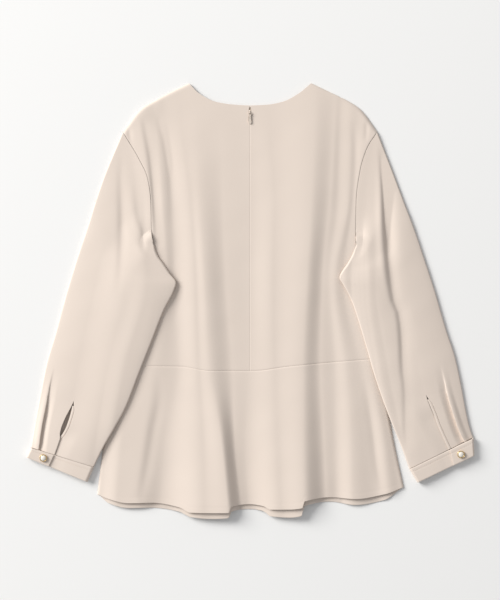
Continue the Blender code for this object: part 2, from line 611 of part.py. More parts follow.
# A cuff is one band that goes round the sleeve and laps over its own end
def cuff(side, corners, material, collection):
    outer_seam, inner_seam, outer_hem, inner_hem = [np.array(corner) for corner in corners]
    width = np.linalg.norm(inner_seam - outer_seam)
    low, high, under = 0.0, CUFF_HEIGHT, CUFF_HEIGHT - CUFF_CLOTH - 0.45
    half = CUFF_HEIGHT / 2
    bend = (1.0 / width, 0.66 * half)
    flat = (3.6 / width, half)
    path = [(0.11, under), (0.24, under), (0.37, under), (0.47, under + 0.3), (0.6, high - 0.8), (0.76, high - 0.2)]
    path += [(1 - flat[0], high), (1 - bend[0], half + bend[1]), (1, half), (1 - bend[0], half - bend[1])]
    path += [(1 - flat[0], low), (0.7, low), (0.35, low), (flat[0], low), (bend[0], half - bend[1])]
    path += [(0, half), (bend[0], half + bend[1]), (flat[0], high), (0.13, high), (0.25, high), (0.37, high)]
    w = np.array(path)[None, :, 0, None]
    f = np.array([0, 0.25, 0.6, 0.9, 1])[:, None, None]
    seam = outer_seam + w * (inner_seam - outer_seam)
    hem = outer_hem + w * (inner_hem - outer_hem)
    plan = seam + f * (hem - seam)
    height = np.array(path)[None, :, 1] + 0 * plan[..., 0]
    name = "cuff_right" if side > 0 else "cuff_left"
    return sheet(name, with_height(plan, height), material, collection, CUFF_CLOTH, tube=True, inwards=True)


# A turned piece from a profile of radius and height
def turned(name, profile, place, material, collection, steps=20):
    mesh = bpy.data.meshes.new(name)
    bm = bmesh.new()
    ring = [bm.verts.new((radius * MM, 0, height * MM)) for radius, height in profile]
    for a, b in zip(ring, ring[1:]):
        bm.edges.new((a, b))
    bm.to_mesh(mesh)
    bm.free()
    obj = bpy.data.objects.new(name, mesh)
    collection.objects.link(obj)
    obj.location = Vector(place) * MM
    mesh.materials.append(material)
    turn = obj.modifiers.new("turn", "SCREW")
    turn.steps = steps
    turn.render_steps = steps
    turn.use_merge_vertices = True
    turn.merge_threshold = 0.00001
    turn.use_smooth_shade = True
    return obj


def button(side, place, parts, gold, pearl):
    name = "right" if side > 0 else "left"
    base = CUFF_HEIGHT + 0.35
    rim = [(0, 3.0 - 2.1), (4.45, 0.9), (4.6, 2.7), (5.1, 3.0), (5.55, 2.5), (BUTTON_RADIUS, 1.3), (5.2, 0), (0, 0)]
    turned("button_rim_" + name, rim, (*place, base), gold, parts)
    dome = [(0, 3.9), (1.8, 3.7), (3.2, 3.1), (PEARL_RADIUS, 2.2), (PEARL_RADIUS, 1.3), (0, 1.3)]
    turned("button_pearl_" + name, dome, (*place, base), pearl, parts)


def box(name, size, place, material, collection):
    mesh = bpy.data.meshes.new(name)
    bm = bmesh.new()
    bmesh.ops.create_cube(bm, size=1)
    bmesh.ops.scale(bm, vec=Vector(size) * MM, verts=bm.verts)
    bm.to_mesh(mesh)
    bm.free()
    obj = bpy.data.objects.new(name, mesh)
    collection.objects.link(obj)
    obj.location = Vector(place) * MM
    if material:
        mesh.materials.append(material)
    return obj


def cross_rod(name, radius, length, place, collection, segments=20):
    mesh = bpy.data.meshes.new(name)
    bm = bmesh.new()
    bmesh.ops.create_cone(bm, cap_ends=True, segments=segments, radius1=radius * MM, radius2=radius * MM, depth=length * MM)
    bm.to_mesh(mesh)
    bm.free()
    obj = bpy.data.objects.new(name, mesh)
    collection.objects.link(obj)
    obj.location = Vector(place) * MM
    obj.rotation_euler = (0, math.pi / 2, 0)
    obj.hide_render = True
    obj.display_type = "WIRE"
    return obj


# The slider stands in the seam's opening, and its crown has a hole for the pull
def zip_slider(parts, cutters, metal):
    bottom = ZIP_TAPE_TOP + 0.35
    top = PULL_AXIS_Z - CROWN_HOLE - 0.05
    place = (0, SLIDER_Y, (bottom + top) / 2)
    slider = box("zip_slider", (SLIDER_WIDTH, SLIDER_LENGTH, top - bottom), place, metal, parts)
    axis = (0, SLIDER_Y, PULL_AXIS_Z)
    crown = cross_rod("crown_outside", CROWN_RADIUS, SLIDER_WIDTH, axis, cutters)
    hole = cross_rod("crown_hole", CROWN_HOLE, SLIDER_WIDTH + 2, axis, cutters, 16)
    for cutter, operation in ((crown, "UNION"), (hole, "DIFFERENCE")):
        cut = slider.modifiers.new(cutter.name, "BOOLEAN")
        cut.operation = operation
        cut.object = cutter
    return slider


# The pull is a flat teardrop whose top bar passes through the crown
def zip_pull(parts, metal):
    half_width = [(0.5, 1.95), (0.1, 2.25), (-2.9, 2.25), (-4.6, 1.5), (-7.0, 1.2), (-11.0, 1.8), (-14.0, 2.3)]
    half_width += [(-16.0, 2.0), (-17.2, 1.1), (-PULL_LENGTH, 0.4)]
    outline = [(w, y) for y, w in half_width] + [(-w, y) for y, w in half_width[::-1]]
    opening = [(1.4, -0.5), (1.4, -2.3), (0.9, -2.8), (-0.9, -2.8), (-1.4, -2.3), (-1.4, -0.5)]
    curve = bpy.data.curves.new("zip_pull", "CURVE")
    curve.dimensions = "2D"
    curve.fill_mode = "BOTH"
    curve.extrude = PULL_THICKNESS / 2 * MM
    for line in (outline, opening):
        spline = curve.splines.new("POLY")
        spline.points.add(len(line) - 1)
        for point, (x, y) in zip(spline.points, line):
            point.co = (x * MM, y * MM, 0, 1)
        spline.use_cyclic_u = True
    obj = bpy.data.objects.new("zip_pull", curve)
    parts.objects.link(obj)
    curve.materials.append(metal)
    axis = bpy.data.objects.new("zip_pull_axis", None)
    parts.objects.link(axis)
    axis.location = Vector((0, SLIDER_Y, PULL_AXIS_Z)) * MM
    obj.parent = axis
    obj.rotation_euler = (math.asin(0.5 / 17), 0, 0)
    return obj


# Start with an empty scene
for old in list(bpy.data.objects):
    bpy.data.objects.remove(old, do_unlink=True)
parts = bpy.data.collections.new("peplum_top")
cutters = bpy.data.collections.new("cutters")
cutters.hide_render = True
bpy.context.scene.collection.children.link(parts)
bpy.context.scene.collection.children.link(cutters)

cloth = material("beige_cloth", (0.78, 0.68, 0.59), 0.85)
cloth_under = material("beige_cloth_underside", (0.74, 0.64, 0.56), 0.88)
tape = material("zip_tape", (0.72, 0.63, 0.55), 0.8)
metal = material("zip_metal", (0.55, 0.50, 0.45), 0.35, 1.0)
gold = material("gold_rim", (0.83, 0.62, 0.30), 0.25, 1.0)
pearl = material("pearl", (0.93, 0.90, 0.84), 0.2)

back_bodice(-1, cloth, parts)
back_bodice(1, cloth, parts)
front_bodice(cloth_under, parts)
rows = [0, 0.1, 0.22, 0.36, 0.5, 0.64, 0.77, 0.89, 1]
peplum("peplum_back", waist_y, 3, CLOTH, [2, 2, 3, 3, 2, 3, 2, 3, 2, 3, 2, 2, 2, 2, 2], rows, back_height, cloth, parts)
rows = [0, 0.2, 0.4, 0.6, 0.8, 1]
peplum("peplum_front", front_waist_y, 2, FRONT_INSET, [2, 1, 2, 2, 2, 3, 1, 2, 2, 3, 1, 2, 2, 1, 1], rows, front_height, cloth_under, parts)
sleeve(-1, SLEEVE_LEFT, cloth, parts)
sleeve(1, SLEEVE_RIGHT, cloth, parts)
slit_binding(-1, SLEEVE_LEFT, cloth, parts)
slit_binding(1, SLEEVE_RIGHT, cloth, parts)
cuff(-1, CUFF_LEFT, cloth, parts)
cuff(1, CUFF_RIGHT, cloth, parts)
button(-1, BUTTON_LEFT, parts, gold, pearl)
button(1, BUTTON_RIGHT, parts, gold, pearl)
tape_length = 301.0 - ZIP_BOTTOM_Y
tape_place = (0, 301.0 - tape_length / 2, (ZIP_TAPE_TOP + ZIP_TAPE_BOTTOM) / 2)
box("zip_tape", (ZIP_TAPE_WIDTH, tape_length, ZIP_TAPE_TOP - ZIP_TAPE_BOTTOM), tape_place, tape, parts)
zip_slider(parts, cutters, metal)
zip_pull(parts, metal)
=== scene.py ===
# Peplum top with long sleeves, laid flat with its back upwards.
# Tables and sizes are in millimetres: x to the right, y towards the neck, z up from the surface it lies on.
import math

import bmesh
import bpy
import numpy as np
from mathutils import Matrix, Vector


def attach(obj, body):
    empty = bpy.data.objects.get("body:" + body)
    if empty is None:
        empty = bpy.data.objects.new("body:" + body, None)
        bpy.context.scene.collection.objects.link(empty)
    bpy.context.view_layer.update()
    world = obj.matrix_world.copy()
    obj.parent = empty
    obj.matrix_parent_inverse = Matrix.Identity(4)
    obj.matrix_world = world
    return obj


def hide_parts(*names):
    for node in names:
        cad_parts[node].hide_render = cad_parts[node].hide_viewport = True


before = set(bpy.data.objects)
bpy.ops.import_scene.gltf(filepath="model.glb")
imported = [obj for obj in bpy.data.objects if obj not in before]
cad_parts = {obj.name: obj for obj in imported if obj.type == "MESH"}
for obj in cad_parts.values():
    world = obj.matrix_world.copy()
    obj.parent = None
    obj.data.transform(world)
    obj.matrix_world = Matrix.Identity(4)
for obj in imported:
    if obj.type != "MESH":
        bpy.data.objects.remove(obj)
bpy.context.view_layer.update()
top = bpy.data.collections.new("peplum_top")
bpy.context.scene.collection.children.link(top)


# The cloth is a smooth beige crepe, woven fine and matt.
# Its threads show as a small relief, and each length of cloth is a little uneven in colour.
# The same weave goes into every cloth piece, with its own colour and thread size.
WEAVE = bpy.data.node_groups.new("crepe_weave", "ShaderNodeTree")
for socket, kind in (("Cut", "NodeSocketVector"), ("Lit", "NodeSocketColor"), ("Worn", "NodeSocketColor"),
                     ("Threads", "NodeSocketFloat"), ("Unevenness", "NodeSocketFloat")):
    WEAVE.interface.new_socket(name=socket, in_out="INPUT", socket_type=kind)
for socket, kind in (("Colour", "NodeSocketColor"), ("Height", "NodeSocketFloat")):
    WEAVE.interface.new_socket(name=socket, in_out="OUTPUT", socket_type=kind)


def weave_nodes(tree):
    nodes = tree.nodes
    links = tree.links
    given = nodes.new("NodeGroupInput")
    result = nodes.new("NodeGroupOutput")
    heights = []
    for direction in ("X", "Y"):
        wave = nodes.new("ShaderNodeTexWave")
        wave.wave_type = "BANDS"
        wave.bands_direction = direction
        wave.inputs["Distortion"].default_value = 1.2
        wave.inputs["Detail"].default_value = 1.0
        wave.inputs["Detail Scale"].default_value = 0.6
        links.new(given.outputs["Cut"], wave.inputs["Vector"])
        links.new(given.outputs["Threads"], wave.inputs["Scale"])
        heights.append(wave.outputs["Fac"])
    threads = nodes.new("ShaderNodeMath")
    threads.operation = "MULTIPLY"
    links.new(heights[0], threads.inputs[0])
    links.new(heights[1], threads.inputs[1])
    slub = nodes.new("ShaderNodeTexNoise")
    slub.inputs["Scale"].default_value = 900.0
    slub.inputs["Detail"].default_value = 3.0
    links.new(given.outputs["Cut"], slub.inputs["Vector"])
    relief = nodes.new("ShaderNodeMath")
    relief.operation = "MULTIPLY_ADD"
    relief.inputs[1].default_value = 0.7
    links.new(slub.outputs["Fac"], relief.inputs[0])
    links.new(threads.outputs[0], relief.inputs[2])
    links.new(relief.outputs[0], result.inputs["Height"])
    cloud = nodes.new("ShaderNodeTexNoise")
    cloud.inputs["Scale"].default_value = 14.0
    cloud.inputs["Detail"].default_value = 4.0
    links.new(given.outputs["Cut"], cloud.inputs["Vector"])
    spread = nodes.new("ShaderNodeMath")
    spread.operation = "MULTIPLY"
    links.new(cloud.outputs["Fac"], spread.inputs[0])
    links.new(given.outputs["Unevenness"], spread.inputs[1])
    mix = nodes.new("ShaderNodeMix")
    mix.data_type = "RGBA"
    links.new(spread.outputs[0], mix.inputs["Factor"])
    links.new(given.outputs["Lit"], mix.inputs[6])
    links.new(given.outputs["Worn"], mix.inputs[7])
    links.new(mix.outputs[2], result.inputs["Colour"])


weave_nodes(WEAVE)


def cloth_material(name, colour, shade, threads=600.0, roughness=0.86, relief=0.22, in_object=False):
    mat = bpy.data.materials.new(name)
    mat.use_nodes = True
    nodes = mat.node_tree.nodes
    links = mat.node_tree.links
    shader = nodes["Principled BSDF"]
    shader.inputs["Roughness"].default_value = roughness
    shader.inputs["Sheen Weight"].default_value = 0.12
    shader.inputs["Sheen Roughness"].default_value = 0.45
    shader.inputs["Specular IOR Level"].default_value = 0.3
    if in_object:
        place = nodes.new("ShaderNodeTexCoord").outputs["Object"]
    else:
        cut = nodes.new("ShaderNodeUVMap")
        cut.uv_map = "cut"
        place = cut.outputs["UV"]
    weave = nodes.new("ShaderNodeGroup")
    weave.node_tree = WEAVE
    weave.inputs["Lit"].default_value = (*colour, 1.0)
    weave.inputs["Worn"].default_value = (*shade, 1.0)
    weave.inputs["Threads"].default_value = threads
    weave.inputs["Unevenness"].default_value = 0.5
    bump = nodes.new("ShaderNodeBump")
    bump.inputs["Strength"].default_value = relief
    bump.inputs["Distance"].default_value = 0.0001
    links.new(place, weave.inputs["Cut"])
    links.new(weave.outputs["Colour"], shader.inputs["Base Color"])
    links.new(weave.outputs["Height"], bump.inputs["Height"])
    links.new(bump.outputs["Normal"], shader.inputs["Normal"])
    return mat


CREPE = cloth_material("beige_crepe", (0.735, 0.640, 0.565), (0.700, 0.602, 0.525))


# The front bodice lies face down on the surface, flat, with its deep round neckline under the back's.
# It is cut in one piece of the same crepe, and its edges are tucked in under the back's rolled edges.
# All cloth panels are grids of points, moved to their place and given the cloth's thickness.
MM = 0.001
CLOTH = 0.8
CAD_CLOTH = 1.0
SEAM_GAP = 0.4
FRONT_INSET = 2.3
SHOULDER_INSET = 4.5
ARMHOLE_GAP = 0.2
SHOULDER = [
    ("neck_point", 95.0, 338.0, 338.0),
    ("first_third", 124.0, 324.0, 324.0),
    ("second_third", 147.0, 311.6, 313.0),
    ("bend", 170.0, 297.6, 298.0),
    ("tip", 197.0, 262.5, 262.5),
]
FRONT_NECK = [
    ("neck_point_left", -93.0, 335.0),
    ("side_left", -76.0, 296.0),
    ("lower_left", -42.0, 268.0),
    ("centre", -1.0, 260.0),
    ("lower_right", 40.0, 268.0),
    ("side_right", 73.0, 296.0),
    ("neck_point_right", 89.0, 335.0),
]
ARMHOLE = [
    ("tip", -197.0, 262.5, 197.0, 262.5),
    ("upper", -171.0, 219.0, 181.0, 237.0),
    ("blade", -158.5, 191.0, 170.5, 203.0),
    ("middle", -153.5, 156.0, 164.3, 156.0),
    ("lower", -152.0, 105.0, 163.5, 110.0),
    ("sleeve_fold", -149.5, 90.0, 164.3, 86.0),
    ("under_sleeve", -157.0, 64.0, 168.0, 62.0),
    ("underarm", -175.0, 47.0, 178.0, 44.0),
]
SLEEVE_FOLD_ROW = 5
SIDE = [
    ("underarm", -175.0, 47.0, 178.0, 44.0),
    ("waist", -206.0, -100.5, 200.0, -89.0),
    ("peplum_middle", -226.3, -215.5, 222.9, -216.0),
    ("hem_corner", -237.4, -301.0, 238.9, -290.0),
]
WAIST = [
    ("side_left", -206.0, -100.5),
    ("left_panel", -108.0, -101.5),
    ("left_drop", -62.0, -108.0),
    ("centre", 3.0, -108.4),
    ("right_rise", 59.0, -101.4),
    ("right_fold", 93.0, -98.0),
    ("side_right", 200.0, -89.0),
]


# Smooth curve through values that never overshoots them
def smooth(at, values, where):
    at = np.asarray(at, float)
    values = np.asarray(values, float)
    where = np.asarray(where, float)
    if at[0] > at[-1]:
        at, values = at[::-1], values[::-1]
    gap = np.diff(at)
    slope = np.diff(values) / gap
    tangent = np.zeros_like(values)
    tangent[0] = slope[0]
    tangent[-1] = slope[-1]
    for k in range(1, len(values) - 1):
        if slope[k - 1] * slope[k] > 0:
            tangent[k] = 2 * slope[k - 1] * slope[k] / (slope[k - 1] + slope[k])
    k = np.clip(np.searchsorted(at, where, side="right") - 1, 0, len(gap) - 1)
    t = np.clip((where - at[k]) / gap[k], 0, 1)
    a = values[k]
    b = values[k + 1]
    p = tangent[k] * gap[k]
    q = tangent[k + 1] * gap[k]
    return a + p * t + (3 * (b - a) - 2 * p - q) * t**2 + (2 * (a - b) + p + q) * t**3


# Points along a table's rows, at fractions of its length
def along(points, fractions):
    points = np.asarray(points, float)
    steps = np.hypot(*np.diff(points, axis=0).T)
    at = np.concatenate([[0], np.cumsum(steps)]) / steps.sum()
    return np.stack([smooth(at, points[:, 0], fractions), smooth(at, points[:, 1], fractions)], axis=-1)


def ease(t):
    t = np.clip(t, 0, 1)
    return t * t * (3 - 2 * t)


# Distance from points to an open line, or to a closed one with its inside below zero
def distance(points, line, closed=False):
    points = np.asarray(points, float)
    line = np.asarray(line, float)
    ends = np.roll(line, -1, axis=0) if closed else line[1:]
    starts = line if closed else line[:-1]
    best = np.full(points.shape[:-1], 1e9)
    inside = np.zeros(points.shape[:-1], bool)
    for a, b in zip(starts, ends):
        t = np.clip(((points - a) @ (b - a)) / ((b - a) @ (b - a)), 0, 1)
        best = np.minimum(best, np.linalg.norm(points - (a + t[..., None] * (b - a)), axis=-1))
        crosses = (a[1] > points[..., 1]) != (b[1] > points[..., 1])
        height = b[1] - a[1] if b[1] != a[1] else 1e-9
        inside ^= crosses & (points[..., 0] < (b[0] - a[0]) * (points[..., 1] - a[1]) / height + a[0])
    return np.where(inside, -best, best) if closed else best


# A line moved inwards
def inset(line, side, by=CAD_CLOTH):
    line = np.asarray(line, float)
    run = np.gradient(line, axis=0)
    run /= np.linalg.norm(run, axis=1)[:, None]
    return line + side * by * np.stack([-run[:, 1], run[:, 0]], axis=1)


def shoulder(side):
    column = 2 if side < 0 else 3
    return along([(side * row[1], row[column]) for row in SHOULDER], np.linspace(0, 1, 30))


# The armhole in two stretches: down to where the sleeve folds over the body, and on under it
def armhole(side):
    column = 1 if side < 0 else 3
    points = np.array([(row[column], row[column + 1]) for row in ARMHOLE])
    steps = np.hypot(*np.diff(points, axis=0).T)
    at = np.concatenate([[0], np.cumsum(steps)])
    seen = np.linspace(0, at[SLEEVE_FOLD_ROW], 60)
    hidden = np.linspace(at[SLEEVE_FOLD_ROW], at[-1], 12)
    return [np.stack([smooth(at, points[:, 0], d), smooth(at, points[:, 1], d)], axis=-1) for d in (seen, hidden)]


def side_x(side, y):
    column = 1 if side < 0 else 3
    return smooth([row[column + 1] for row in SIDE], [row[column] for row in SIDE], y)


def side_seam(side, top=None, bottom=None, count=36):
    column = 2 if side < 0 else 4
    top = SIDE[0][column] if top is None else top
    bottom = SIDE[-1][column] if bottom is None else bottom
    y = np.linspace(top, bottom, count)
    return np.stack([side_x(side, y), y], axis=-1)


# The body's outer edge beside the sleeve, then down the side seam
def outer_edge(side, seen, hidden, below, by, shoulder_by, seam_y):
    arm, under = armhole(side)
    shoulder_end = inset(shoulder(side), -side, shoulder_by)[-1]
    column = 2 if side < 0 else 4
    seam = inset(side_seam(side, bottom=SIDE[1][column]), -side, by)
    upper = along(arm, seen)
    upper[:, 0] -= side * ARMHOLE_GAP
    upper[0] = shoulder_end
    middle = along(under, hidden)
    middle[-1] = seam[0]
    lower = along(seam, below)
    lower[-1, 1] = seam_y(lower[-1, 0]) + SEAM_GAP / 2
    return np.concatenate([upper, middle, lower])


# The front's waist seam, hidden, runs straight from side to side
def front_waist_y(x):
    return np.interp(x, [WAIST[0][1], WAIST[-1][1]], [WAIST[0][2], WAIST[-1][2]])


# A patch between four curves: top and bottom across, start and end down the sides
def patch(top, bottom, start, end, across, down):
    u = np.asarray(across)[None, :, None]
    v = np.asarray(down)[:, None, None]
    corners = (1 - u) * (1 - v) * top[0] + u * (1 - v) * top[-1] + (1 - u) * v * bottom[0] + u * v * bottom[-1]
    edges = (1 - v) * top[None] + v * bottom[None] + (1 - u) * start[:, None] + u * end[:, None]
    return edges - corners


def with_height(plan, height):
    return np.concatenate([plan, height[..., None]], axis=-1)


# A cloth panel from a grid of points; up is a row and column whose outer face looks up, grain its turn on the table
def panel(name, points, up, grain=0.0, thickness=CLOTH, inwards=False, mat=None, rim=0.22):
    rows, columns = points.shape[:2]
    mesh = bpy.data.meshes.new(name)
    bm = bmesh.new()
    bmesh.ops.create_grid(bm, x_segments=columns - 1, y_segments=rows - 1, size=1)
    bm.verts.ensure_lookup_table()
    for vertex, place in zip(bm.verts, points.reshape(-1, 3) * MM):
        vertex.co = place
    marker = bm.verts[up[0] * columns + up[1]].co.copy()
    bmesh.ops.remove_doubles(bm, verts=bm.verts, dist=0.00001)
    bmesh.ops.recalc_face_normals(bm, faces=bm.faces)
    nearest = min(bm.verts, key=lambda vertex: (vertex.co - marker).length_squared)
    nearest.normal_update()
    if nearest.normal.z < 0:
        bmesh.ops.reverse_faces(bm, faces=bm.faces)
    bm.to_mesh(mesh)
    bm.free()
    corners = np.empty(len(mesh.loops), np.int32)
    mesh.loops.foreach_get("vertex_index", corners)
    places = np.empty(len(mesh.vertices) * 3, np.float32)
    mesh.vertices.foreach_get("co", places)
    places = places.reshape(-1, 3)[corners]
    turn = math.radians(grain)
    flat = np.stack([places[:, 0] * math.cos(turn) + places[:, 1] * math.sin(turn),
                     places[:, 1] * math.cos(turn) - places[:, 0] * math.sin(turn)], axis=1)
    mesh.uv_layers.new(name="cut").data.foreach_set("uv", flat.ravel())
    obj = bpy.data.objects.new(name, mesh)
    top.objects.link(obj)
    mesh.materials.append(mat or CREPE)
    mesh.shade_smooth()
    shell = obj.modifiers.new("cloth", "SOLIDIFY")
    shell.thickness = thickness * MM
    shell.offset = -1 if inwards else 1
    if rim:
        edge = obj.modifiers.new("edge", "BEVEL")
        edge.width = rim * MM
        edge.segments = 2
        edge.angle_limit = math.radians(50)
        edge.harden_normals = False
    return obj


def front_bodice():
    left = inset(shoulder(-1), 1, SHOULDER_INSET)
    right = inset(shoulder(1), -1, SHOULDER_INSET)
    neck = np.array([row[1:3] for row in FRONT_NECK], float)
    neck[0] = left[0]
    neck[-1] = right[0]
    across = np.concatenate([np.linspace(0, 0.24, 22), np.linspace(0.24, 0.76, 50)[1:], np.linspace(0.76, 1, 22)[1:]])
    seen = np.linspace(0, 1, 40)
    hidden = np.linspace(0, 1, 9)[1:]
    below = np.linspace(0, 1, 34)[1:]
    down = np.concatenate([0.46 * seen, 0.46 + 0.14 * hidden, 0.6 + 0.4 * below])
    on_left = across <= 0.2401
    on_right = across >= 0.7599
    on_neck = (across >= 0.2399) & (across <= 0.7601)
    top_line = np.empty((len(across), 2))
    top_line[on_left] = along(left[::-1], across[on_left] / 0.24)
    top_line[on_right] = along(right, (across[on_right] - 0.76) / 0.24)
    top_line[on_neck] = along(neck, (across[on_neck] - 0.24) / 0.52)
    insets = (FRONT_INSET, SHOULDER_INSET)
    edges = [outer_edge(side, seen, hidden, below, *insets, front_waist_y) for side in (-1, 1)]
    bottom_x = edges[0][-1, 0] + (edges[1][-1, 0] - edges[0][-1, 0]) * across
    bottom = np.stack([bottom_x, front_waist_y(bottom_x) + SEAM_GAP / 2], axis=-1)
    plan = patch(top_line, bottom, edges[0], edges[1], across, down)
    return panel("front_bodice_cloth", with_height(plan, 0 * plan[..., 0]), (60, 46))


front = front_bodice()
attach(front, "garment")
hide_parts("front_bodice")


# The back bodice is two panels, left and right, sewn to the zip down the middle of the back.
# It lies on the front in long soft folds that run down from the shoulders, and it rolls over at the sides.
# Its edges turn down at every seam, where the sewing pulls the cloth in.
ROLL = 4.0
SLIDER_Y = 291.5
SLIDER_LENGTH = 9.0
BACK_NECK = [
    ("neck_point_left", -95.0, 338.0),
    ("upper_left", -78.0, 321.0),
    ("lower_left", -51.0, 308.0),
    ("centre_left", -20.0, 303.8),
    ("centre", 0.0, 302.8),
    ("centre_right", 24.0, 303.8),
    ("lower_right", 50.0, 308.4),
    ("upper_right", 75.0, 321.0),
    ("neck_point_right", 91.0, 338.0),
]
# Fold lines of the back, left to right. Each has an x and a height at these levels.
LEVELS = [338.0, 300.0, 157.0, 33.0, -100.0, -215.0, -316.0]
FOLDS = [
    ("side_left", [-200, -199, -178, -178, -206, -226, -239], [3.0, 3.0, 3.6, 2.4, 2.2, 2.2, 2.0]),
    ("plateau_left", [-166, -166, -150, -145, -178, -198, -206], [3.0, 3.6, 5.4, 4.6, 4.2, 5.4, 7.0]),
    ("plateau_edge", [-146, -146, -138, -130, -150, -166, -176], [2.8, 2.8, 5.0, 4.6, 4.6, 5.6, 7.4]),
    ("valley_left", [-132, -130, -119, -116, -113, -130, -137], [2.4, 2.4, 3.0, 2.8, 2.6, 2.4, 2.2]),
    ("first_rise", [-112, -110, -92, -84, -80, -74, -72], [2.4, 2.6, 5.4, 6.6, 6.4, 9.0, 12.4]),
    ("first_edge", [-86, -84, -78, -70, -62, -44, -34], [2.4, 2.8, 6.0, 8.0, 7.8, 12.0, 15.0]),
    ("first_foot", [-46, -44, -42, -37, -28, -24, -14], [2.2, 2.6, 3.4, 3.4, 3.2, 3.4, 3.6]),
    ("centre", [0, 0, 0, 0, -2, -6, -2], [2.4, 2.5, 2.8, 2.8, 2.6, 2.6, 2.8]),
    ("second_rise", [28, 28, 38, 36, 38, 42, 46], [2.4, 2.6, 4.8, 5.8, 5.8, 8.0, 11.0]),
    ("second_edge", [100, 100, 95, 88, 82, 82, 84], [3.2, 4.4, 7.6, 9.2, 8.8, 11.4, 15.0]),
    ("second_foot", [134, 132, 124, 113, 109, 114, 118], [2.6, 2.8, 4.0, 4.2, 3.6, 3.4, 3.6]),
    ("valley_right", [143, 141, 137, 122, 130, 132, 134], [2.4, 2.4, 3.0, 4.0, 2.6, 2.4, 2.4]),
    ("third_ridge", [154, 156, 152, 131, 150, 158, 160], [2.6, 2.8, 3.6, 4.4, 4.4, 5.6, 6.6]),
    ("third_foot", [168, 168, 160, 147, 172, 190, 198], [2.6, 2.6, 3.0, 2.8, 3.2, 3.2, 3.4]),
    ("plateau_right", [184, 184, 168, 168, 184, 206, 216], [2.6, 2.8, 3.2, 3.2, 3.6, 4.2, 5.0]),
    ("side_right", [199, 199, 182, 181, 200, 223, 240], [2.6, 2.6, 3.0, 2.4, 2.2, 2.2, 2.0]),
]
FOLD_X = np.array([row[1] for row in FOLDS], float)
FOLD_Z = np.array([row[2] for row in FOLDS], float)
# Small creases of the bodice: points as x, y and depth, then the width to the left and to the right
BODICE_CREASES = [
    ("shoulder_first", [(-166, 288, 0), (-163, 270, -0.9), (-154, 218, -1.5), (-149, 167, -1.8), (-144, 90, -0.6)], 4.0, 9),
    ("shoulder_second", [(-146, 298, 0), (-139, 272, -0.7), (-130, 240, -0.9), (-123, 186, -0.7), (-119, 105, 0)], 5, 9),
    ("shoulder_tip", [(-189, 273, 0), (-187, 262, -0.7), (-184, 246, -0.3), (-180, 236, 0)], 3, 4),
    ("tip_right", [(181, 280, 0), (180.5, 268, -0.6), (180, 256, -0.5), (178, 246, 0)], 3, 3),
    ("blade_right", [(160, 284, 0), (163, 240, -0.5), (162, 190, -0.3), (160, 150, -0.2), (160, 120, 0)], 5, 6),
]


def waist_y(x):
    return smooth([row[1] for row in WAIST], [row[2] for row in WAIST], x)


def fold_lines(y):
    xs = np.stack([smooth(LEVELS, line, y) for line in FOLD_X])
    zs = np.stack([smooth(LEVELS, line, y) for line in FOLD_Z])
    return xs, zs


def fold_height(points):
    x = points[..., 0]
    xs, zs = fold_lines(points[..., 1])
    height = zs[0].copy()
    for k in range(len(xs) - 1):
        t = (x - xs[k]) / np.maximum(xs[k + 1] - xs[k], 0.5)
        height = np.where(t > 0, zs[k] + (zs[k + 1] - zs[k]) * ease(t), height)
    return height


def roll_down(points, radius):
    near = np.full(points.shape[:-1], 1e9)
    for side in (-1, 1):
        near = np.minimum(near, distance(points, inset(shoulder(side), -side)))
        near = np.minimum(near, distance(points, inset(side_seam(side), -side)))
    return np.sqrt(np.clip(1 - (1 - np.clip(near / radius, 0, 1)) ** 2, 0, 1))


def back_height(points):
    return fold_height(points) * roll_down(points, ROLL)


# Height added by small creases, each along its own line
def crease_height(plan, creases):
    total = np.zeros(plan.shape[:-1])
    for name, line, left, right in creases:
        line = np.array(line, float)
        steps = np.hypot(*np.diff(line[:, :2], axis=0).T)
        at = np.concatenate([[0], np.cumsum(steps)]) / steps.sum()
        fine = np.stack([smooth(at, line[:, k], np.linspace(0, 1, 28)) for k in range(3)], axis=-1)
        best = np.full(plan.shape[:-1], 1e9)
        depth = np.zeros(plan.shape[:-1])
        beside = np.zeros(plan.shape[:-1])
        for a, b in zip(fine, fine[1:]):
            run = b[:2] - a[:2]
            t = np.clip(((plan - a[:2]) @ run) / (run @ run), 0, 1)
            away = plan - (a[:2] + t[..., None] * run)
            far = np.linalg.norm(away, axis=-1)
            closer = far < best
            best = np.where(closer, far, best)
            depth = np.where(closer, a[2] + t * (b[2] - a[2]), depth)
            beside = np.where(closer, away[..., 0] * -run[1] + away[..., 1] * run[0], beside)
        width = np.where(beside > 0, right, left)
        total += depth * np.exp(-((best / width) ** 2))
    return total


# The cloth turns down within the radius of a seam
def seam_dip(away, radius, drop):
    t = np.clip(away / radius, 0, 1)
    return -drop * (1 - np.sqrt(1 - (1 - t) ** 2))


# Slow unevenness of cloth that was smoothed by hand
def hand_smoothed(plan, seed, height):
    chance = np.random.default_rng(seed)
    total = np.zeros(plan.shape[:-1])
    for wave in range(12):
        angle = chance.uniform(0, math.pi)
        length = chance.uniform(40, 120)
        phase = chance.uniform(0, 2 * math.pi)
        across = plan[..., 0] * math.cos(angle) + plan[..., 1] * math.sin(angle)
        total += np.sin(2 * math.pi * across / length + phase) * length / 120
    return height * total / 12**0.5


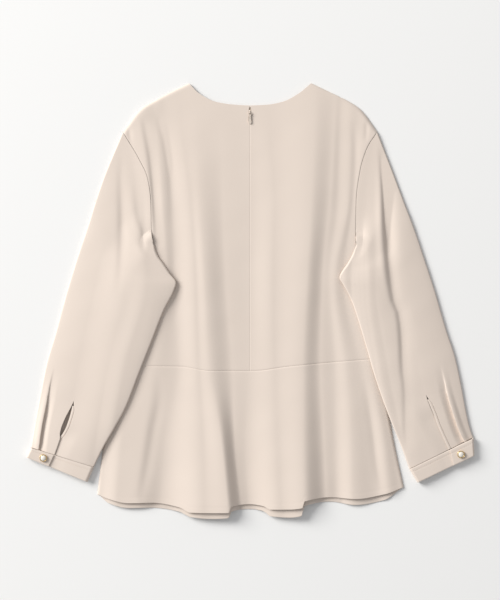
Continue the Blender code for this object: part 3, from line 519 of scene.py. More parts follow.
def back_bodice(side):
    neck_rows = np.array([row[1:3] for row in BACK_NECK], float)
    neck_rows = neck_rows[4:] if side > 0 else neck_rows[4::-1]
    shoulder_rows = inset(shoulder(side), -side)
    neck_rows[-1] = shoulder_rows[0]
    close = np.array([0, 0.3, 0.7, 1.2, 1.8, 2.6, 3.6, 5.0]) / 200
    across = np.concatenate([close, np.linspace(0.035, 0.965, 84), 1 - close[::-1]])
    seen = np.concatenate([[0, 0.003, 0.008, 0.015, 0.025], np.linspace(0.037, 1, 82)])
    hidden = np.linspace(0, 1, 15)[1:]
    below = np.concatenate([np.linspace(0, 0.97, 56)[1:], [0.98, 0.988, 0.994, 1]])
    outer = outer_edge(side, seen, hidden, below, CAD_CLOTH, CAD_CLOTH, waist_y)
    down = np.concatenate([0.46 * seen, 0.46 + 0.14 * hidden, 0.6 + 0.4 * below])
    neck_share = 0.52
    on_neck = across <= neck_share
    top_line = np.empty((len(across), 2))
    top_line[on_neck] = along(neck_rows, across[on_neck] / neck_share)
    top_line[~on_neck] = along(shoulder_rows, (across[~on_neck] - neck_share) / (1 - neck_share))
    centre_y = neck_rows[0, 1] + (waist_y(0.0) + SEAM_GAP / 2 - neck_rows[0, 1]) * down
    opening = 1.5 * (1 - ease((np.abs(centre_y - SLIDER_Y) - SLIDER_LENGTH / 2 - 1) / 6))
    centre = np.stack([side * (SEAM_GAP / 2 + opening), centre_y], axis=-1)
    top_line[0] = centre[0]
    bottom_x = centre[-1, 0] + (outer[-1, 0] - centre[-1, 0]) * across
    bottom = np.stack([bottom_x, waist_y(bottom_x) + SEAM_GAP / 2], axis=-1)
    plan = patch(top_line, bottom, centre, outer, across, down)
    roll = roll_down(plan, ROLL)
    height = fold_height(plan)
    height = height + crease_height(plan, BODICE_CREASES) + hand_smoothed(plan, 3, 0.16)
    height = np.maximum(height, 2.2) * roll
    height = height + seam_dip(np.abs(plan[..., 0]), 1.3, 0.4)
    height = height + seam_dip(plan[..., 1] - waist_y(plan[..., 0]), 2.2, 0.7) * roll
    height = height + seam_dip(distance(plan, armhole(side)[0]), 1.4, 0.4) * roll
    name = "back_bodice_right" if side > 0 else "back_bodice_left"
    return panel(name + "_cloth", with_height(plan, np.maximum(height, 0)), (60, 40))


for side, name in ((-1, "back_bodice_left"), (1, "back_bodice_right")):
    half = back_bodice(side)
    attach(half, "garment")
    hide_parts(name)


# The front peplum lies face down under the back one, and its hem shows a little below the back's.
# It is cut as part of a ring, so that its hem is longer than the waist seam and stands in flutes.
HEM = [
    ("corner_left", -237.4, -301.0, -300.0),
    ("left_turn", -223.0, -312.8, -305.8),
    ("left_bulge", -189.0, -320.6, -312.8),
    ("left_valley", -155.0, -320.2, -312.4),
    ("ridge_start", -108.5, -326.4, -319.4),
    ("ridge_left", -93.0, -334.0, -327.0),
    ("ridge_middle", -62.0, -336.9, -327.4),
    ("ridge_edge", -32.8, -335.6, -327.0),
    ("valley_start", -29.0, -325.4, -317.8),
    ("centre", 0.0, -322.4, -314.8),
    ("second_start", 21.0, -325.2, -317.4),
    ("second_left", 31.0, -333.0, -322.4),
    ("second_middle", 60.0, -335.0, -322.0),
    ("second_edge", 81.2, -332.0, -319.4),
    ("drop_foot", 83.4, -317.0, -309.4),
    ("right_valley", 124.0, -310.9, -304.0),
    ("right_bulge", 163.0, -316.0, -306.4),
    ("right_turn", 209.0, -308.6, -299.4),
    ("corner_right", 238.9, -290.0, -289.0),
]


def hem_y(x, column):
    return smooth([row[1] for row in HEM], [row[column] for row in HEM], x)


def front_height(points):
    near = np.full(points.shape[:-1], 1e9)
    for side in (-1, 1):
        near = np.minimum(near, distance(points, side_seam(side)))
    below = np.clip((waist_y(points[..., 0]) - points[..., 1]) / 190, 0, 1)
    lift = np.clip(fold_height(points) - 3.4, 0, None)
    return 0.85 * lift * ease(below) * ease((near - 6) / 14)


# The columns follow the fold lines from the waist seam to the hem
def peplum_plan(seam_y, hem_column, edge_inset, per_fold, down):
    starts = np.array([smooth(LEVELS, line, -104) for line in FOLD_X])
    middles = np.array([smooth(LEVELS, line, -215) for line in FOLD_X])
    ends = np.array([smooth(LEVELS, line, -316) for line in FOLD_X])
    last = len(FOLDS) - 1
    close = np.array([0.3, 0.7, 1.2, 1.8, 2.6, 3.6, 5.0])
    places = np.concatenate([np.linspace(0, last, last * per_fold + 1), close / 30, last - close / 16])
    places = np.sort(places)
    index = np.arange(len(starts))
    columns = [np.interp(places, index, line) for line in (starts, middles, ends)]
    v = np.asarray(down)
    x = np.stack([smooth([0, 0.54, 1], [a, b, c], v) for a, b, c in zip(*columns)], axis=1)
    top_y = seam_y(x[0]) - SEAM_GAP / 2
    bottom_y = hem_y(x[-1], hem_column)
    y = top_y[None] * (1 - v[:, None]) + bottom_y[None] * v[:, None]
    reach = per_fold * 3
    for side, outside, step in ((-1, x[:, 0], (x - x[:, :1]) / (x[:, reach:reach + 1] - x[:, :1])),
                                (1, x[:, -1], (x[:, -1:] - x) / (x[:, -1:] - x[:, -reach - 1:-reach]))):
        column = 0 if side < 0 else -1
        edge = np.stack([side_x(side, y[:, column]), y[:, column]], axis=-1)
        move = inset(edge, -side, edge_inset)[:, 0] - outside
        x = x + move[:, None] * (1 - ease(step))
    return np.stack([x, y], axis=-1)


front_rows = np.concatenate([[0, 0.004, 0.01], np.linspace(0.02, 0.98, 68), [0.988, 0.994, 1]])
plan = peplum_plan(front_waist_y, 2, FRONT_INSET, 9, front_rows)
front_peplum = panel("peplum_front_cloth", with_height(plan, front_height(plan)), (30, 60))
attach(front_peplum, "garment")
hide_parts("peplum_front")


# The back peplum is sewn to the bodice at the waist seam and falls in two high flutes and two low ones.
# Its hem is turned up and sewn blind, which leaves a faint line above the edge.
back_rows = np.concatenate([[0, 0.0015, 0.0035, 0.006, 0.009, 0.013], np.linspace(0.02, 0.98, 96),
                            [0.985, 0.99, 0.994, 0.997, 1]])
PEPLUM_CREASES = [
    ("left_band", [(-140, -110, 0), (-141, -150, -0.6), (-150, -200, -1.2), (-160, -260, -1.2), (-168, -300, -0.6)], 7, 9),
    ("right_band", [(178, -120, 0), (184, -160, -0.6), (190, -200, -0.9), (196, -250, -0.8), (204, -290, -0.3)], 6, 8),
]


def back_peplum():
    plan = peplum_plan(waist_y, 3, CAD_CLOTH, 12, back_rows)
    height = fold_height(plan) + crease_height(plan, PEPLUM_CREASES) + hand_smoothed(plan, 3, 0.16)
    roll = roll_down(plan, ROLL)
    height = np.maximum(height, 1.9) * roll
    height = height + seam_dip(waist_y(plan[..., 0]) - plan[..., 1], 2.2, 0.7) * roll
    above_hem = plan[..., 1] - hem_y(plan[..., 0], 3)
    height = height - 0.12 * np.exp(-(((above_hem - 9.0) / 0.9) ** 2)) * roll
    return panel("peplum_back_cloth", with_height(plan, np.maximum(height, 0)), (30, 60))


peplum = back_peplum()
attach(peplum, "garment")
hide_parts("peplum_back")


# Each sleeve is one piece of crepe, sewn to a tube and laid flat, with its fold lines at the sides.
# Its head is sewn into the armhole, a pleat takes in the cloth above the cuff, and a slit lets the hand through.
# The inner side lies over the body's side and is held up by it.
EDGE_RADIUS = 1.5
LEAST_DEPTH = 3.0
SLEEVE_LEFT = [
    ("armhole", -197.0, 262.5, -149.5, 90.0, 5.0, 0.40, 0.16, 0.0),
    ("cap", -226.8, 190.7, -141.5, 70.0, 7.0, 0.40, 0.16, 0.6),
    ("upper_arm", -241.5, 147.3, -132.0, 57.0, 9.0, 0.40, 0.16, 0.8),
    ("flap", -249.5, 121.0, -122.5, 42.0, 10.5, 0.40, 0.15, 0.8),
    ("flap_corner", -257.5, 97.0, -114.0, 28.5, 11.0, 0.40, 0.14, 0.6),
    ("below_corner", -268.5, 64.0, -118.5, 14.0, 11.0, 0.40, 0.13, 0.4),
    ("elbow_top", -284.0, 13.0, -133.0, -14.0, 11.0, 0.40, 0.12, 0.2),
    ("elbow", -302.0, -53.0, -153.5, -66.0, 11.0, 0.40, 0.10, 0.0),
    ("forearm", -315.0, -97.0, -171.0, -110.0, 11.0, 0.40, 0.09, 0.0),
    ("slit_top", -325.0, -148.0, -191.5, -163.0, 10.5, 0.395, 0.08, 0.0),
    ("slit", -331.0, -180.0, -208.0, -194.0, 10.0, 0.38, 0.08, 0.0),
    ("above_cuff", -335.5, -206.0, -225.5, -224.0, 9.0, 0.37, 0.09, 0.0),
    ("cuff_seam", -339.0, -226.5, -241.5, -256.5, 8.0, 0.36, 0.11, 0.0),
]
SLEEVE_RIGHT = [
    ("armhole", 197.0, 262.5, 164.3, 86.0, 5.0, 0.46, 0.22, 0.4),
    ("cap", 221.7, 198.4, 154.5, 65.5, 7.0, 0.46, 0.22, 2.6),
    ("upper_arm", 240.9, 147.3, 147.5, 55.0, 9.0, 0.46, 0.22, 3.4),
    ("flap", 251.4, 120.0, 142.5, 48.0, 10.5, 0.46, 0.22, 3.4),
    ("flap_corner", 260.6, 94.0, 138.0, 36.5, 11.0, 0.46, 0.21, 3.2),
    ("below_corner", 269.5, 67.0, 144.0, 25.5, 11.0, 0.46, 0.20, 3.0),
    ("elbow_top", 285.0, 20.0, 156.0, 3.0, 11.0, 0.46, 0.20, 2.6),
    ("elbow", 304.0, -45.0, 178.0, -65.0, 11.0, 0.46, 0.20, 2.2),
    ("forearm", 317.5, -86.0, 190.0, -107.0, 11.0, 0.46, 0.20, 1.4),
    ("slit_top", 328.0, -134.0, 206.5, -156.0, 10.5, 0.46, 0.19, 0.6),
    ("slit", 334.0, -167.0, 219.5, -190.0, 10.0, 0.43, 0.17, 0.2),
    ("above_cuff", 340.0, -194.0, 232.0, -220.0, 9.0, 0.40, 0.15, 0.0),
    ("cuff_seam", 345.5, -211.0, 246.5, -259.5, 8.0, 0.373, 0.128, 0.0),
]
SLIT_TOP_ROW = 9
BINDING_WIDTH = 4.4
SLIT_LEFT_GAP = [(0.0, 0.0), (0.12, 3.0), (0.28, 6.6), (0.42, 7.6), (0.56, 5.0), (0.68, -1.6), (1.0, -2.4)]
SLIT_RIGHT_GAP = [(0.0, 0.0), (0.12, 0.9), (0.3, 0.6), (0.5, -1.2), (1.0, -2.4)]
SLEEVE_CREASES = [
    ("left_long", [(-190, 256, 0), (-196, 228, -1.0), (-199, 190, -1.6), (-198, 130, -1.4), (-199, 60, -0.8), (-204, 10, 0)],
     6, 9),
    ("left_hollow", [(-161, 178, 0), (-160, 150, -1.6), (-160, 120, -2.4), (-158, 98, -1.5), (-152, 84, 0)], 7, 7),
    ("left_hollow_edge", [(-184, 190, 0), (-182, 160, 0.9), (-176, 122, 1.3), (-162, 98, 0.8), (-150, 84, 0)], 7, 5),
    ("right_long", [(198, 256, 0), (204, 222, -3.0), (209, 167, -4.2), (211, 112, -4.4), (214, 62, -3.4), (222, 2, -2.6),
                    (231, -22, -2.2), (235, -68, -2.2), (236, -100, -1.8), (240, -138, -1.2), (241, -202, -0.8),
                    (245, -236, 0)], 4.5, 12),
    ("right_long_ridge", [(195, 256, 0), (200, 222, 0.5), (201, 167, 1.0), (202, 112, 1.0), (204, 62, 0.8), (212, 2, 0)],
     6, 6),
]


def support(side, points, start, ramp, clearance):
    under = armhole(side)[1]
    seam = side_seam(side)
    inner = [(side * 60.0, seam[-1, 1]), (side * 60.0, under[0, 1])]
    outside = distance(points, np.concatenate([under, seam[1:], inner]), closed=True)
    highest = np.max([fold_height(points + np.array([step, 0.0])) for step in (-14, -7, 0, 7, 14)], axis=0)
    return (highest + CAD_CLOTH + clearance) * (1 - ease((outside - start) / ramp))


def section(rows, column, t):
    return smooth(np.arange(len(rows)), [row[column] for row in rows], t)


# Place on a sleeve: t is the section, w runs from the outer edge to the inner one, face is 1 on top
def sleeve_surface(side, rows, t, w, face, lap, shaped=True):
    at_edge = (w < 1e-6) | (w > 1 - 1e-6)
    outer = np.stack([section(rows, 1, t), section(rows, 2, t)], axis=-1)
    inner = np.stack([section(rows, 3, t), section(rows, 4, t)], axis=-1)
    width = np.linalg.norm(inner - outer, axis=-1)
    w = CLOTH / width + w * (1 - 2 * CLOTH / width)
    arm = armhole(side)[0]
    bow = along(arm, w) - arm[0] - w[..., None] * (arm[-1] - arm[0])
    bow[..., 0] += side * 0.55
    bow[..., 1] -= 0.55 * (1 - w)
    sag = 32 * np.sin(np.pi * np.clip(t / 9, 0, 1)) ** 0.7 * np.sin(np.pi * w)
    plan = outer + w[..., None] * (inner - outer) + bow * (np.clip(1 - t / 4, 0, 1) ** 1.6)[..., None]
    plan = plan + sag[..., None] * np.array([side * 0.45, -0.9])
    turn = 240 * (1 - w) * np.exp(-(1 - w) / 0.12) * ease(t / 0.6) * (1 - ease((t - 2) / 3))
    plan = plan + turn[..., None] * np.array([side * 0.95, -0.3])
    low = support(side, plan, 8.0, 18.0, 0.6)
    full = 2 * EDGE_RADIUS
    middle = section(rows, 5, t) * (0.76 + 0.24 * ease((t - 9) / 3))
    edge = np.minimum(full, middle)
    thick = edge + (middle - edge) * np.sin(np.pi * np.clip(w, 0, 1)) ** 0.7
    high = support(side, plan, 4.0, 55.0, 0.6) + thick
    pleat = ease((t - 7.9) / 2.2) * (1 - 0.35 * ease((t - 11.4) / 0.6))
    past = (w - section(rows, 7, t)) * width
    lobe = np.where(past < 0, 2.4 * (1 - ease(-past / 9)), 2.4 - 5.2 * ease(past / 2.6))
    lobe = np.where(past > 2.6, -2.8 * (1 - ease((past - 2.6) / 12)), lobe)
    high = high + pleat * lobe
    tucked = w - section(rows, 6, t)
    under = ease((t - (10.2 if side < 0 else 9.4)) / 0.9)
    high = high - lap * 1.9 * under * (1 - ease(tucked / 0.25))
    if shaped:
        high = high + crease_height(plan, [row for row in SLEEVE_CREASES if row[0].startswith("left") == (side < 0)])
        high = high + hand_smoothed(plan, 5, 0.22)
    start = np.maximum(back_height(plan) + CLOTH, low + LEAST_DEPTH)
    high = high + (start - high) * ease(1 - t / 1.4)
    high = np.maximum(high, low + LEAST_DEPTH)
    high = high + seam_dip(distance(plan, arm), 1.4, 0.4)
    low = low + CLOTH
    high = high - CLOTH
    half = 0.5 * np.minimum(full - 2 * CLOTH, high - low)
    stations = np.linspace(0, len(rows) - 1, 80)
    edges = [np.stack([section(rows, c, stations), section(rows, c + 1, stations)], axis=-1) for c in (1, 3)]
    near = np.minimum(distance(plan, edges[0]), distance(plan, edges[1])) - CLOTH
    near = near / (EDGE_RADIUS - CLOTH)
    near = np.where(at_edge, 0, near)
    bend = np.sqrt(np.clip(1 - (1 - np.clip(near, 0, 1)) ** 2, 0, 1))
    height = np.where(face > 0, low + half + (high - low - half) * bend, low + half - half * bend)
    lean = face * pleat * (1.5 * np.exp(-(((past + 0.6) / 1.3) ** 2)) - 1.9 * np.exp(-(((past - 2.4) / 1.3) ** 2)))
    along_w = (inner - outer) / width[..., None]
    plan = plan + np.where(face > 0, lean, 0)[..., None] * along_w
    return np.concatenate([plan, height[..., None]], axis=-1), width


# Distance of each slit edge from the slit's line, towards the cuff's inner end
def slit_edges(side, t):
    gaps = SLIT_LEFT_GAP if side < 0 else SLIT_RIGHT_GAP
    share = np.clip((t - SLIT_TOP_ROW) / (12 - SLIT_TOP_ROW), 0, 1)
    gap = smooth([row[0] for row in gaps], [row[1] for row in gaps], share)
    bound = BINDING_WIDTH * ease(share / 0.16)
    return gap, bound, share


# Section numbers spaced evenly down the sleeve
def even_sections(rows, count):
    fine = np.linspace(0, 12, 600)
    line = np.stack([section(rows, 1, fine) + section(rows, 3, fine), section(rows, 2, fine) + section(rows, 4, fine)])
    steps = np.hypot(*np.diff(line))
    at = np.concatenate([[0], np.cumsum(steps)]) / steps.sum()
    t = np.interp(np.linspace(0, 1, count), at, fine)
    return np.unique(np.concatenate([[0.005, 0.012, 0.022, 0.035], t, [11.95, 11.975, 11.99]]))


def sleeve(side, rows):
    t = even_sections(rows, 224)
    slit = section(rows, 6, t)
    width = sleeve_surface(side, rows, t, t * 0, t * 0, 0, False)[1]
    gap, bound, share = slit_edges(side, t)
    from_slit = slit + (gap / 2 + bound * (side < 0)) / width
    to_slit = slit - (gap / 2 + bound * (side > 0)) / width
    close = [0.25, 0.6, 1.1, 1.7, 2.4, 3.4, 4.8, 6.4]
    skew = (1 + 2.2 * np.clip(1 - t / 4, 0, 1)) / width
    columns = [(from_slit + f * (1 - 8.4 * skew - from_slit), 1) for f in np.linspace(0, 1, 40)]
    inner_count = len(columns)
    columns += [(1 - step * skew, 1) for step in close[::-1]]
    columns += [(1 + 0 * t, 1)]
    columns += [(1 - step * skew, -1) for step in close]
    columns += [(f + 0 * t, -1) for f in np.linspace(0.74, 0.1, 18)]
    columns += [(step / width, -1) for step in close[::-1]]
    columns += [(0 * t, 1)]
    columns += [(step / width, 1) for step in close]
    columns += [(7.6 / width + f * (to_slit - 7.6 / width), 1) for f in np.linspace(0, 1, 44)]
    w = np.stack([column[0] for column in columns], axis=1)
    face = np.stack([column[1] + 0 * t for column in columns], axis=1)
    lap = (np.arange(len(columns)) < inner_count + 8) * 1.0
    points = sleeve_surface(side, rows, t[:, None] + 0 * w, w, face, lap)[0]
    name = "sleeve_right" if side > 0 else "sleeve_left"
    obj = panel(name + "_cloth", points, (150, 20), grain=side * 17)
    thin_near(obj, armhole(side)[0][-1], 20.0)
    return obj


# The cloth is drawn thin where the sleeve's fold runs into the armhole seam
def thin_near(obj, place, reach):
    group = obj.vertex_groups.new(name="cloth")
    for vertex in obj.data.vertices:
        away = math.hypot(vertex.co.x / MM - place[0], vertex.co.y / MM - place[1])
        group.add([vertex.index], 0.45 + 0.55 * float(ease(away / reach)), "REPLACE")
    obj.modifiers["cloth"].vertex_group = "cloth"


for side, rows, name in ((-1, SLEEVE_LEFT, "sleeve_left"), (1, SLEEVE_RIGHT, "sleeve_right")):
    tube = sleeve(side, rows)
    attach(tube, "garment")
    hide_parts(name)


# A narrow strip of the crepe binds the slit's edge that lies on top, folded over and sewn down beside it.
THREAD = cloth_material("sewing_thread", (0.66, 0.55, 0.47), (0.60, 0.50, 0.42), threads=1500.0, roughness=0.7,
                        in_object=True)


def slit_binding(side, rows):
    t = np.linspace(9.22, 12, 70)
    slit = section(rows, 6, t)
    width = sleeve_surface(side, rows, t, t * 0, t * 0, 0, False)[1]
    gap, bound, share = slit_edges(side, t)
    near = slit - side * (gap / 2) / width
    far = slit - side * (gap / 2 + bound - SEAM_GAP) / width
    f = np.linspace(0, 1, 11)[None]
    w = near[:, None] + f * (far - near)[:, None]
    points = sleeve_surface(side, rows, t[:, None] + 0 * w, w, 1 + 0 * w, 1.0 * (side < 0))[0]
    points[..., 2] += 0.35 * np.sin(np.pi * f) ** 0.6 - 0.15
    name = "slit_binding_right" if side > 0 else "slit_binding_left"
    return panel(name + "_cloth", points, (30, 5), grain=side * 17)


strips = {}
for side, rows, name in ((-1, SLEEVE_LEFT, "slit_binding_left"), (1, SLEEVE_RIGHT, "slit_binding_right")):
    strip = slit_binding(side, rows)
    strips[side] = strip
    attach(strip, "garment")
    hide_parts(name)


# Each cuff is a band of doubled crepe with a firm lining, sewn to the sleeve's end and lapped over itself.
# A line of stitches runs below its seam, and the button closes its upper end.
CUFF_CLOTH = 1.6
CUFF_HEIGHT = 9.0
CUFF_LEFT = [(-339.4, -227.0), (-241.6, -257.0), (-346.5, -241.5), (-251.5, -280.0)]
CUFF_RIGHT = [(346.0, -211.9), (246.6, -260.0), (347.5, -239.0), (259.0, -281.0)]


def cuff(side, corners):
    outer_seam, inner_seam, outer_hem, inner_hem = [np.array(corner) for corner in corners]
    width = np.linalg.norm(inner_seam - outer_seam)
    low, high, under = 0.0, CUFF_HEIGHT, CUFF_HEIGHT - CUFF_CLOTH - 0.45
    half = CUFF_HEIGHT / 2
    bend = (1.0 / width, 0.66 * half)
    flat = (3.6 / width, half)
    path = [(0.11, under), (0.24, under), (0.37, under), (0.47, under + 0.3), (0.6, high - 0.8), (0.76, high - 0.2)]
    path += [(1 - flat[0], high), (1 - bend[0], half + bend[1]), (1, half), (1 - bend[0], half - bend[1])]
    path += [(1 - flat[0], low), (0.7, low), (0.35, low), (flat[0], low), (bend[0], half - bend[1])]
    path += [(0, half), (bend[0], half + bend[1]), (flat[0], high), (0.13, high), (0.25, high), (0.37, high)]
    line = np.array(path) * np.array([width, 1.0])
    steps = np.hypot(*np.diff(line, axis=0).T)
    dense = along(line, np.unique(np.concatenate([np.linspace(0, 1, 150), np.cumsum(steps)[:-1] / steps.sum()])))
    w = (dense[:, 0] / width)[None, :, None]
    f = np.concatenate([[0, 0.02, 0.05, 0.09], np.linspace(0.13, 0.87, 22), [0.91, 0.95, 0.98, 1]])[:, None, None]
    seam = outer_seam + w * (inner_seam - outer_seam)
    hem = outer_hem + w * (inner_hem - outer_hem)
    plan = seam + f * (hem - seam)
    height = dense[None, :, 1] + 0 * plan[..., 0]
    facing = np.where(height > half, -1.0, 1.0)
    across = f[..., 0]
    dip = 0.5 * (1 - np.sqrt(1 - np.clip(1 - across / 0.07, 0, 1) ** 2))
    dip = dip + 0.5 * (1 - np.sqrt(1 - np.clip(1 - (1 - across) / 0.07, 0, 1) ** 2))
    dip = dip + 0.22 * np.exp(-(((across - 0.24) / 0.03) ** 2))
    height = height + facing * dip * (height > half)
    name = "cuff_right" if side > 0 else "cuff_left"
    return panel(name + "_cloth", with_height(plan, height), (15, len(dense) - 20), grain=side * 20,
                 thickness=CUFF_CLOTH, inwards=True, rim=0.4)


cuffs = {}
for side, corners, name in ((-1, CUFF_LEFT, "cuff_left"), (1, CUFF_RIGHT, "cuff_right")):
    band = cuff(side, corners)
    cuffs[side] = band
    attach(band, "garment")
    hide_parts(name)


# The closed zip runs down the middle of the back under the two halves' turned edges, on a woven tape.
# It is a hidden zip: its nylon coil lies on the inner face of the tape, each turn a short rounded bar.
ZIP_BOTTOM_Y = 132.0
COIL_PITCH = 1.4
COIL_Z = 1.06
COIL_BAR = (3.2, 0.8, 0.42)
TAPE = cloth_material("zip_tape_weave", (0.60, 0.50, 0.42), (0.55, 0.45, 0.38), threads=900.0, in_object=True)
NYLON = bpy.data.materials.new("zip_coil_nylon")
NYLON.use_nodes = True
NYLON.node_tree.nodes["Principled BSDF"].inputs["Roughness"].default_value = 0.4
nylon_grain = NYLON.node_tree.nodes.new("ShaderNodeTexNoise")
nylon_grain.inputs["Scale"].default_value = 1400.0
nylon_place = NYLON.node_tree.nodes.new("ShaderNodeTexCoord")
NYLON.node_tree.links.new(nylon_place.outputs["Object"], nylon_grain.inputs["Vector"])
nylon_colour = NYLON.node_tree.nodes.new("ShaderNodeValToRGB")
nylon_colour.color_ramp.elements[0].color = (0.52, 0.43, 0.35, 1)
nylon_colour.color_ramp.elements[1].color = (0.62, 0.53, 0.45, 1)
NYLON.node_tree.links.new(nylon_grain.outputs["Fac"], nylon_colour.inputs["Fac"])
NYLON.node_tree.links.new(nylon_colour.outputs["Color"], NYLON.node_tree.nodes["Principled BSDF"].inputs["Base Color"])
zip_tape = bpy.data.objects["zip_tape"]
zip_tape.data.materials.clear()
zip_tape.data.materials.append(TAPE)


def add_mesh(name, bm, mat, smooth_shading=True):
    mesh = bpy.data.meshes.new(name)
    bmesh.ops.recalc_face_normals(bm, faces=bm.faces)
    bm.to_mesh(mesh)
    bm.free()
    mesh.materials.append(mat)
    if smooth_shading:
        mesh.shade_smooth()
    obj = bpy.data.objects.new(name, mesh)
    top.objects.link(obj)
    return obj


def zip_coil():
    bm = bmesh.new()
    for y in np.arange(ZIP_BOTTOM_Y + 2, SLIDER_Y - SLIDER_LENGTH / 2, COIL_PITCH):
        made = bmesh.ops.create_cube(bm, size=1)["verts"]
        bmesh.ops.scale(bm, vec=Vector(COIL_BAR) * MM, verts=made)
        bmesh.ops.translate(bm, vec=Vector((0, y, COIL_Z)) * MM, verts=made)
    coil = add_mesh("zip_coil", bm, NYLON)
    rounding = coil.modifiers.new("rounding", "BEVEL")
    rounding.width = 0.16 * MM
    rounding.segments = 2
    return coil


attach(zip_coil(), "garment")


# The slider is a narrow lacquered die casting with a rounded nose, and a loop on it carries the pull.
# It stands at the top of the closed zip, in the small opening between the two halves.
PULL_AXIS_Z = 5.0
LACQUER = bpy.data.materials.new("lacquered_metal")
LACQUER.use_nodes = True
lacquer_shader = LACQUER.node_tree.nodes["Principled BSDF"]
lacquer_shader.inputs["Metallic"].default_value = 0.05
lacquer_shader.inputs["Coat Weight"].default_value = 0.35
lacquer_place = LACQUER.node_tree.nodes.new("ShaderNodeTexCoord")
lacquer_grain = LACQUER.node_tree.nodes.new("ShaderNodeTexNoise")
lacquer_grain.inputs["Scale"].default_value = 700.0
lacquer_colour = LACQUER.node_tree.nodes.new("ShaderNodeValToRGB")
lacquer_colour.color_ramp.elements[0].color = (0.64, 0.55, 0.47, 1)
lacquer_colour.color_ramp.elements[1].color = (0.74, 0.65, 0.57, 1)
lacquer_rough = LACQUER.node_tree.nodes.new("ShaderNodeMapRange")
lacquer_rough.inputs["To Min"].default_value = 0.28
lacquer_rough.inputs["To Max"].default_value = 0.44
LACQUER.node_tree.links.new(lacquer_place.outputs["Object"], lacquer_grain.inputs["Vector"])
LACQUER.node_tree.links.new(lacquer_grain.outputs["Fac"], lacquer_colour.inputs["Fac"])
LACQUER.node_tree.links.new(lacquer_grain.outputs["Fac"], lacquer_rough.inputs["Value"])
LACQUER.node_tree.links.new(lacquer_colour.outputs["Color"], lacquer_shader.inputs["Base Color"])
LACQUER.node_tree.links.new(lacquer_rough.outputs["Result"], lacquer_shader.inputs["Roughness"])
# Sections of the slider, from its nose down: y from its middle, half width, and its lower and upper face
SLIDER = [
    ("nose", 4.4, 0.35, 2.5, 3.3),
    ("nose_round", 4.0, 0.8, 2.4, 3.8),
    ("shoulder", 3.0, 1.0, 2.35, 4.1),
    ("waist", 0.0, 0.95, 2.35, 4.15),
    ("flare", -3.0, 1.0, 2.35, 4.05),
    ("tail_round", -4.1, 0.85, 2.4, 3.7),
    ("tail", -4.4, 0.5, 2.5, 3.2),
]


# A skin over rings of points, closed at both ends
def skin(bm, rings, loop=False):
    made = [[bm.verts.new(Vector(place) * MM) for place in ring] for ring in rings]
    pairs = list(zip(made, made[1:]))
    if loop:
        pairs.append((made[-1], made[0]))
    for first, second in pairs:
        for k in range(len(first)):
            bm.faces.new((first[k - 1], first[k], second[k], second[k - 1]))
    if not loop:
        bm.faces.new(made[0])
        bm.faces.new(made[-1])


# Rings of a round rod along a path that lies in one plane, whose normal is the flat axis
def rod_rings(path, radius, flat, count=10, loop=False):
    path = np.array(path, float)
    run = np.roll(path, -1, axis=0) - np.roll(path, 1, axis=0) if loop else np.gradient(path, axis=0)
    flat = np.array(flat, float)
    rings = []
    for place, along_path in zip(path, run):
        across = np.cross(flat, along_path)
        across /= np.linalg.norm(across)
        turn = np.linspace(0, 2 * math.pi, count, endpoint=False)
        rings.append([place + radius * (math.cos(a) * flat + math.sin(a) * across) for a in turn])
    return rings


def slider():
    bm = bmesh.new()
    turn = np.linspace(0, 2 * math.pi, 20, endpoint=False)
    square = [(np.sign(math.cos(a)) * abs(math.cos(a)) ** 0.6, np.sign(math.sin(a)) * abs(math.sin(a)) ** 0.6) for a in turn]
    rings = []
    for name, y, half_width, low_z, high_z in SLIDER:
        middle = (low_z + high_z) / 2
        half = (high_z - low_z) / 2
        rings.append([(half_width * a, SLIDER_Y + y, middle + half * b) for a, b in square])
    skin(bm, rings)
    arch = [(0.0, SLIDER_Y + 1.55 * math.cos(a), 4.0 + 2.3 * math.sin(a)) for a in np.linspace(0, math.pi, 17)]
    skin(bm, rod_rings(arch, 0.5, (1, 0, 0)))
    return add_mesh("zip_slider_body", bm, LACQUER)


body = slider()
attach(body, "garment")
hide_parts("zip_slider")

# The pull is a flat drop of metal, narrow under its eye and round at its end.
# Its top bar passes through the slider's loop and turns in it, and it lies down along the seam.
PULL_THICKNESS = 0.9
PULL = [(0.45, 1.3), (0.2, 1.85), (-0.6, 2.2), (-2.6, 2.2), (-3.6, 1.8), (-4.8, 1.3), (-7.0, 1.15), (-9.5, 1.5),
        (-12.0, 2.05), (-14.2, 2.3), (-15.8, 2.1), (-16.9, 1.45), (-17.45, 0.7)]
PULL_EYE = [(-0.6, 1.3), (-1.4, 1.4), (-2.1, 1.25), (-2.7, 0.7)]


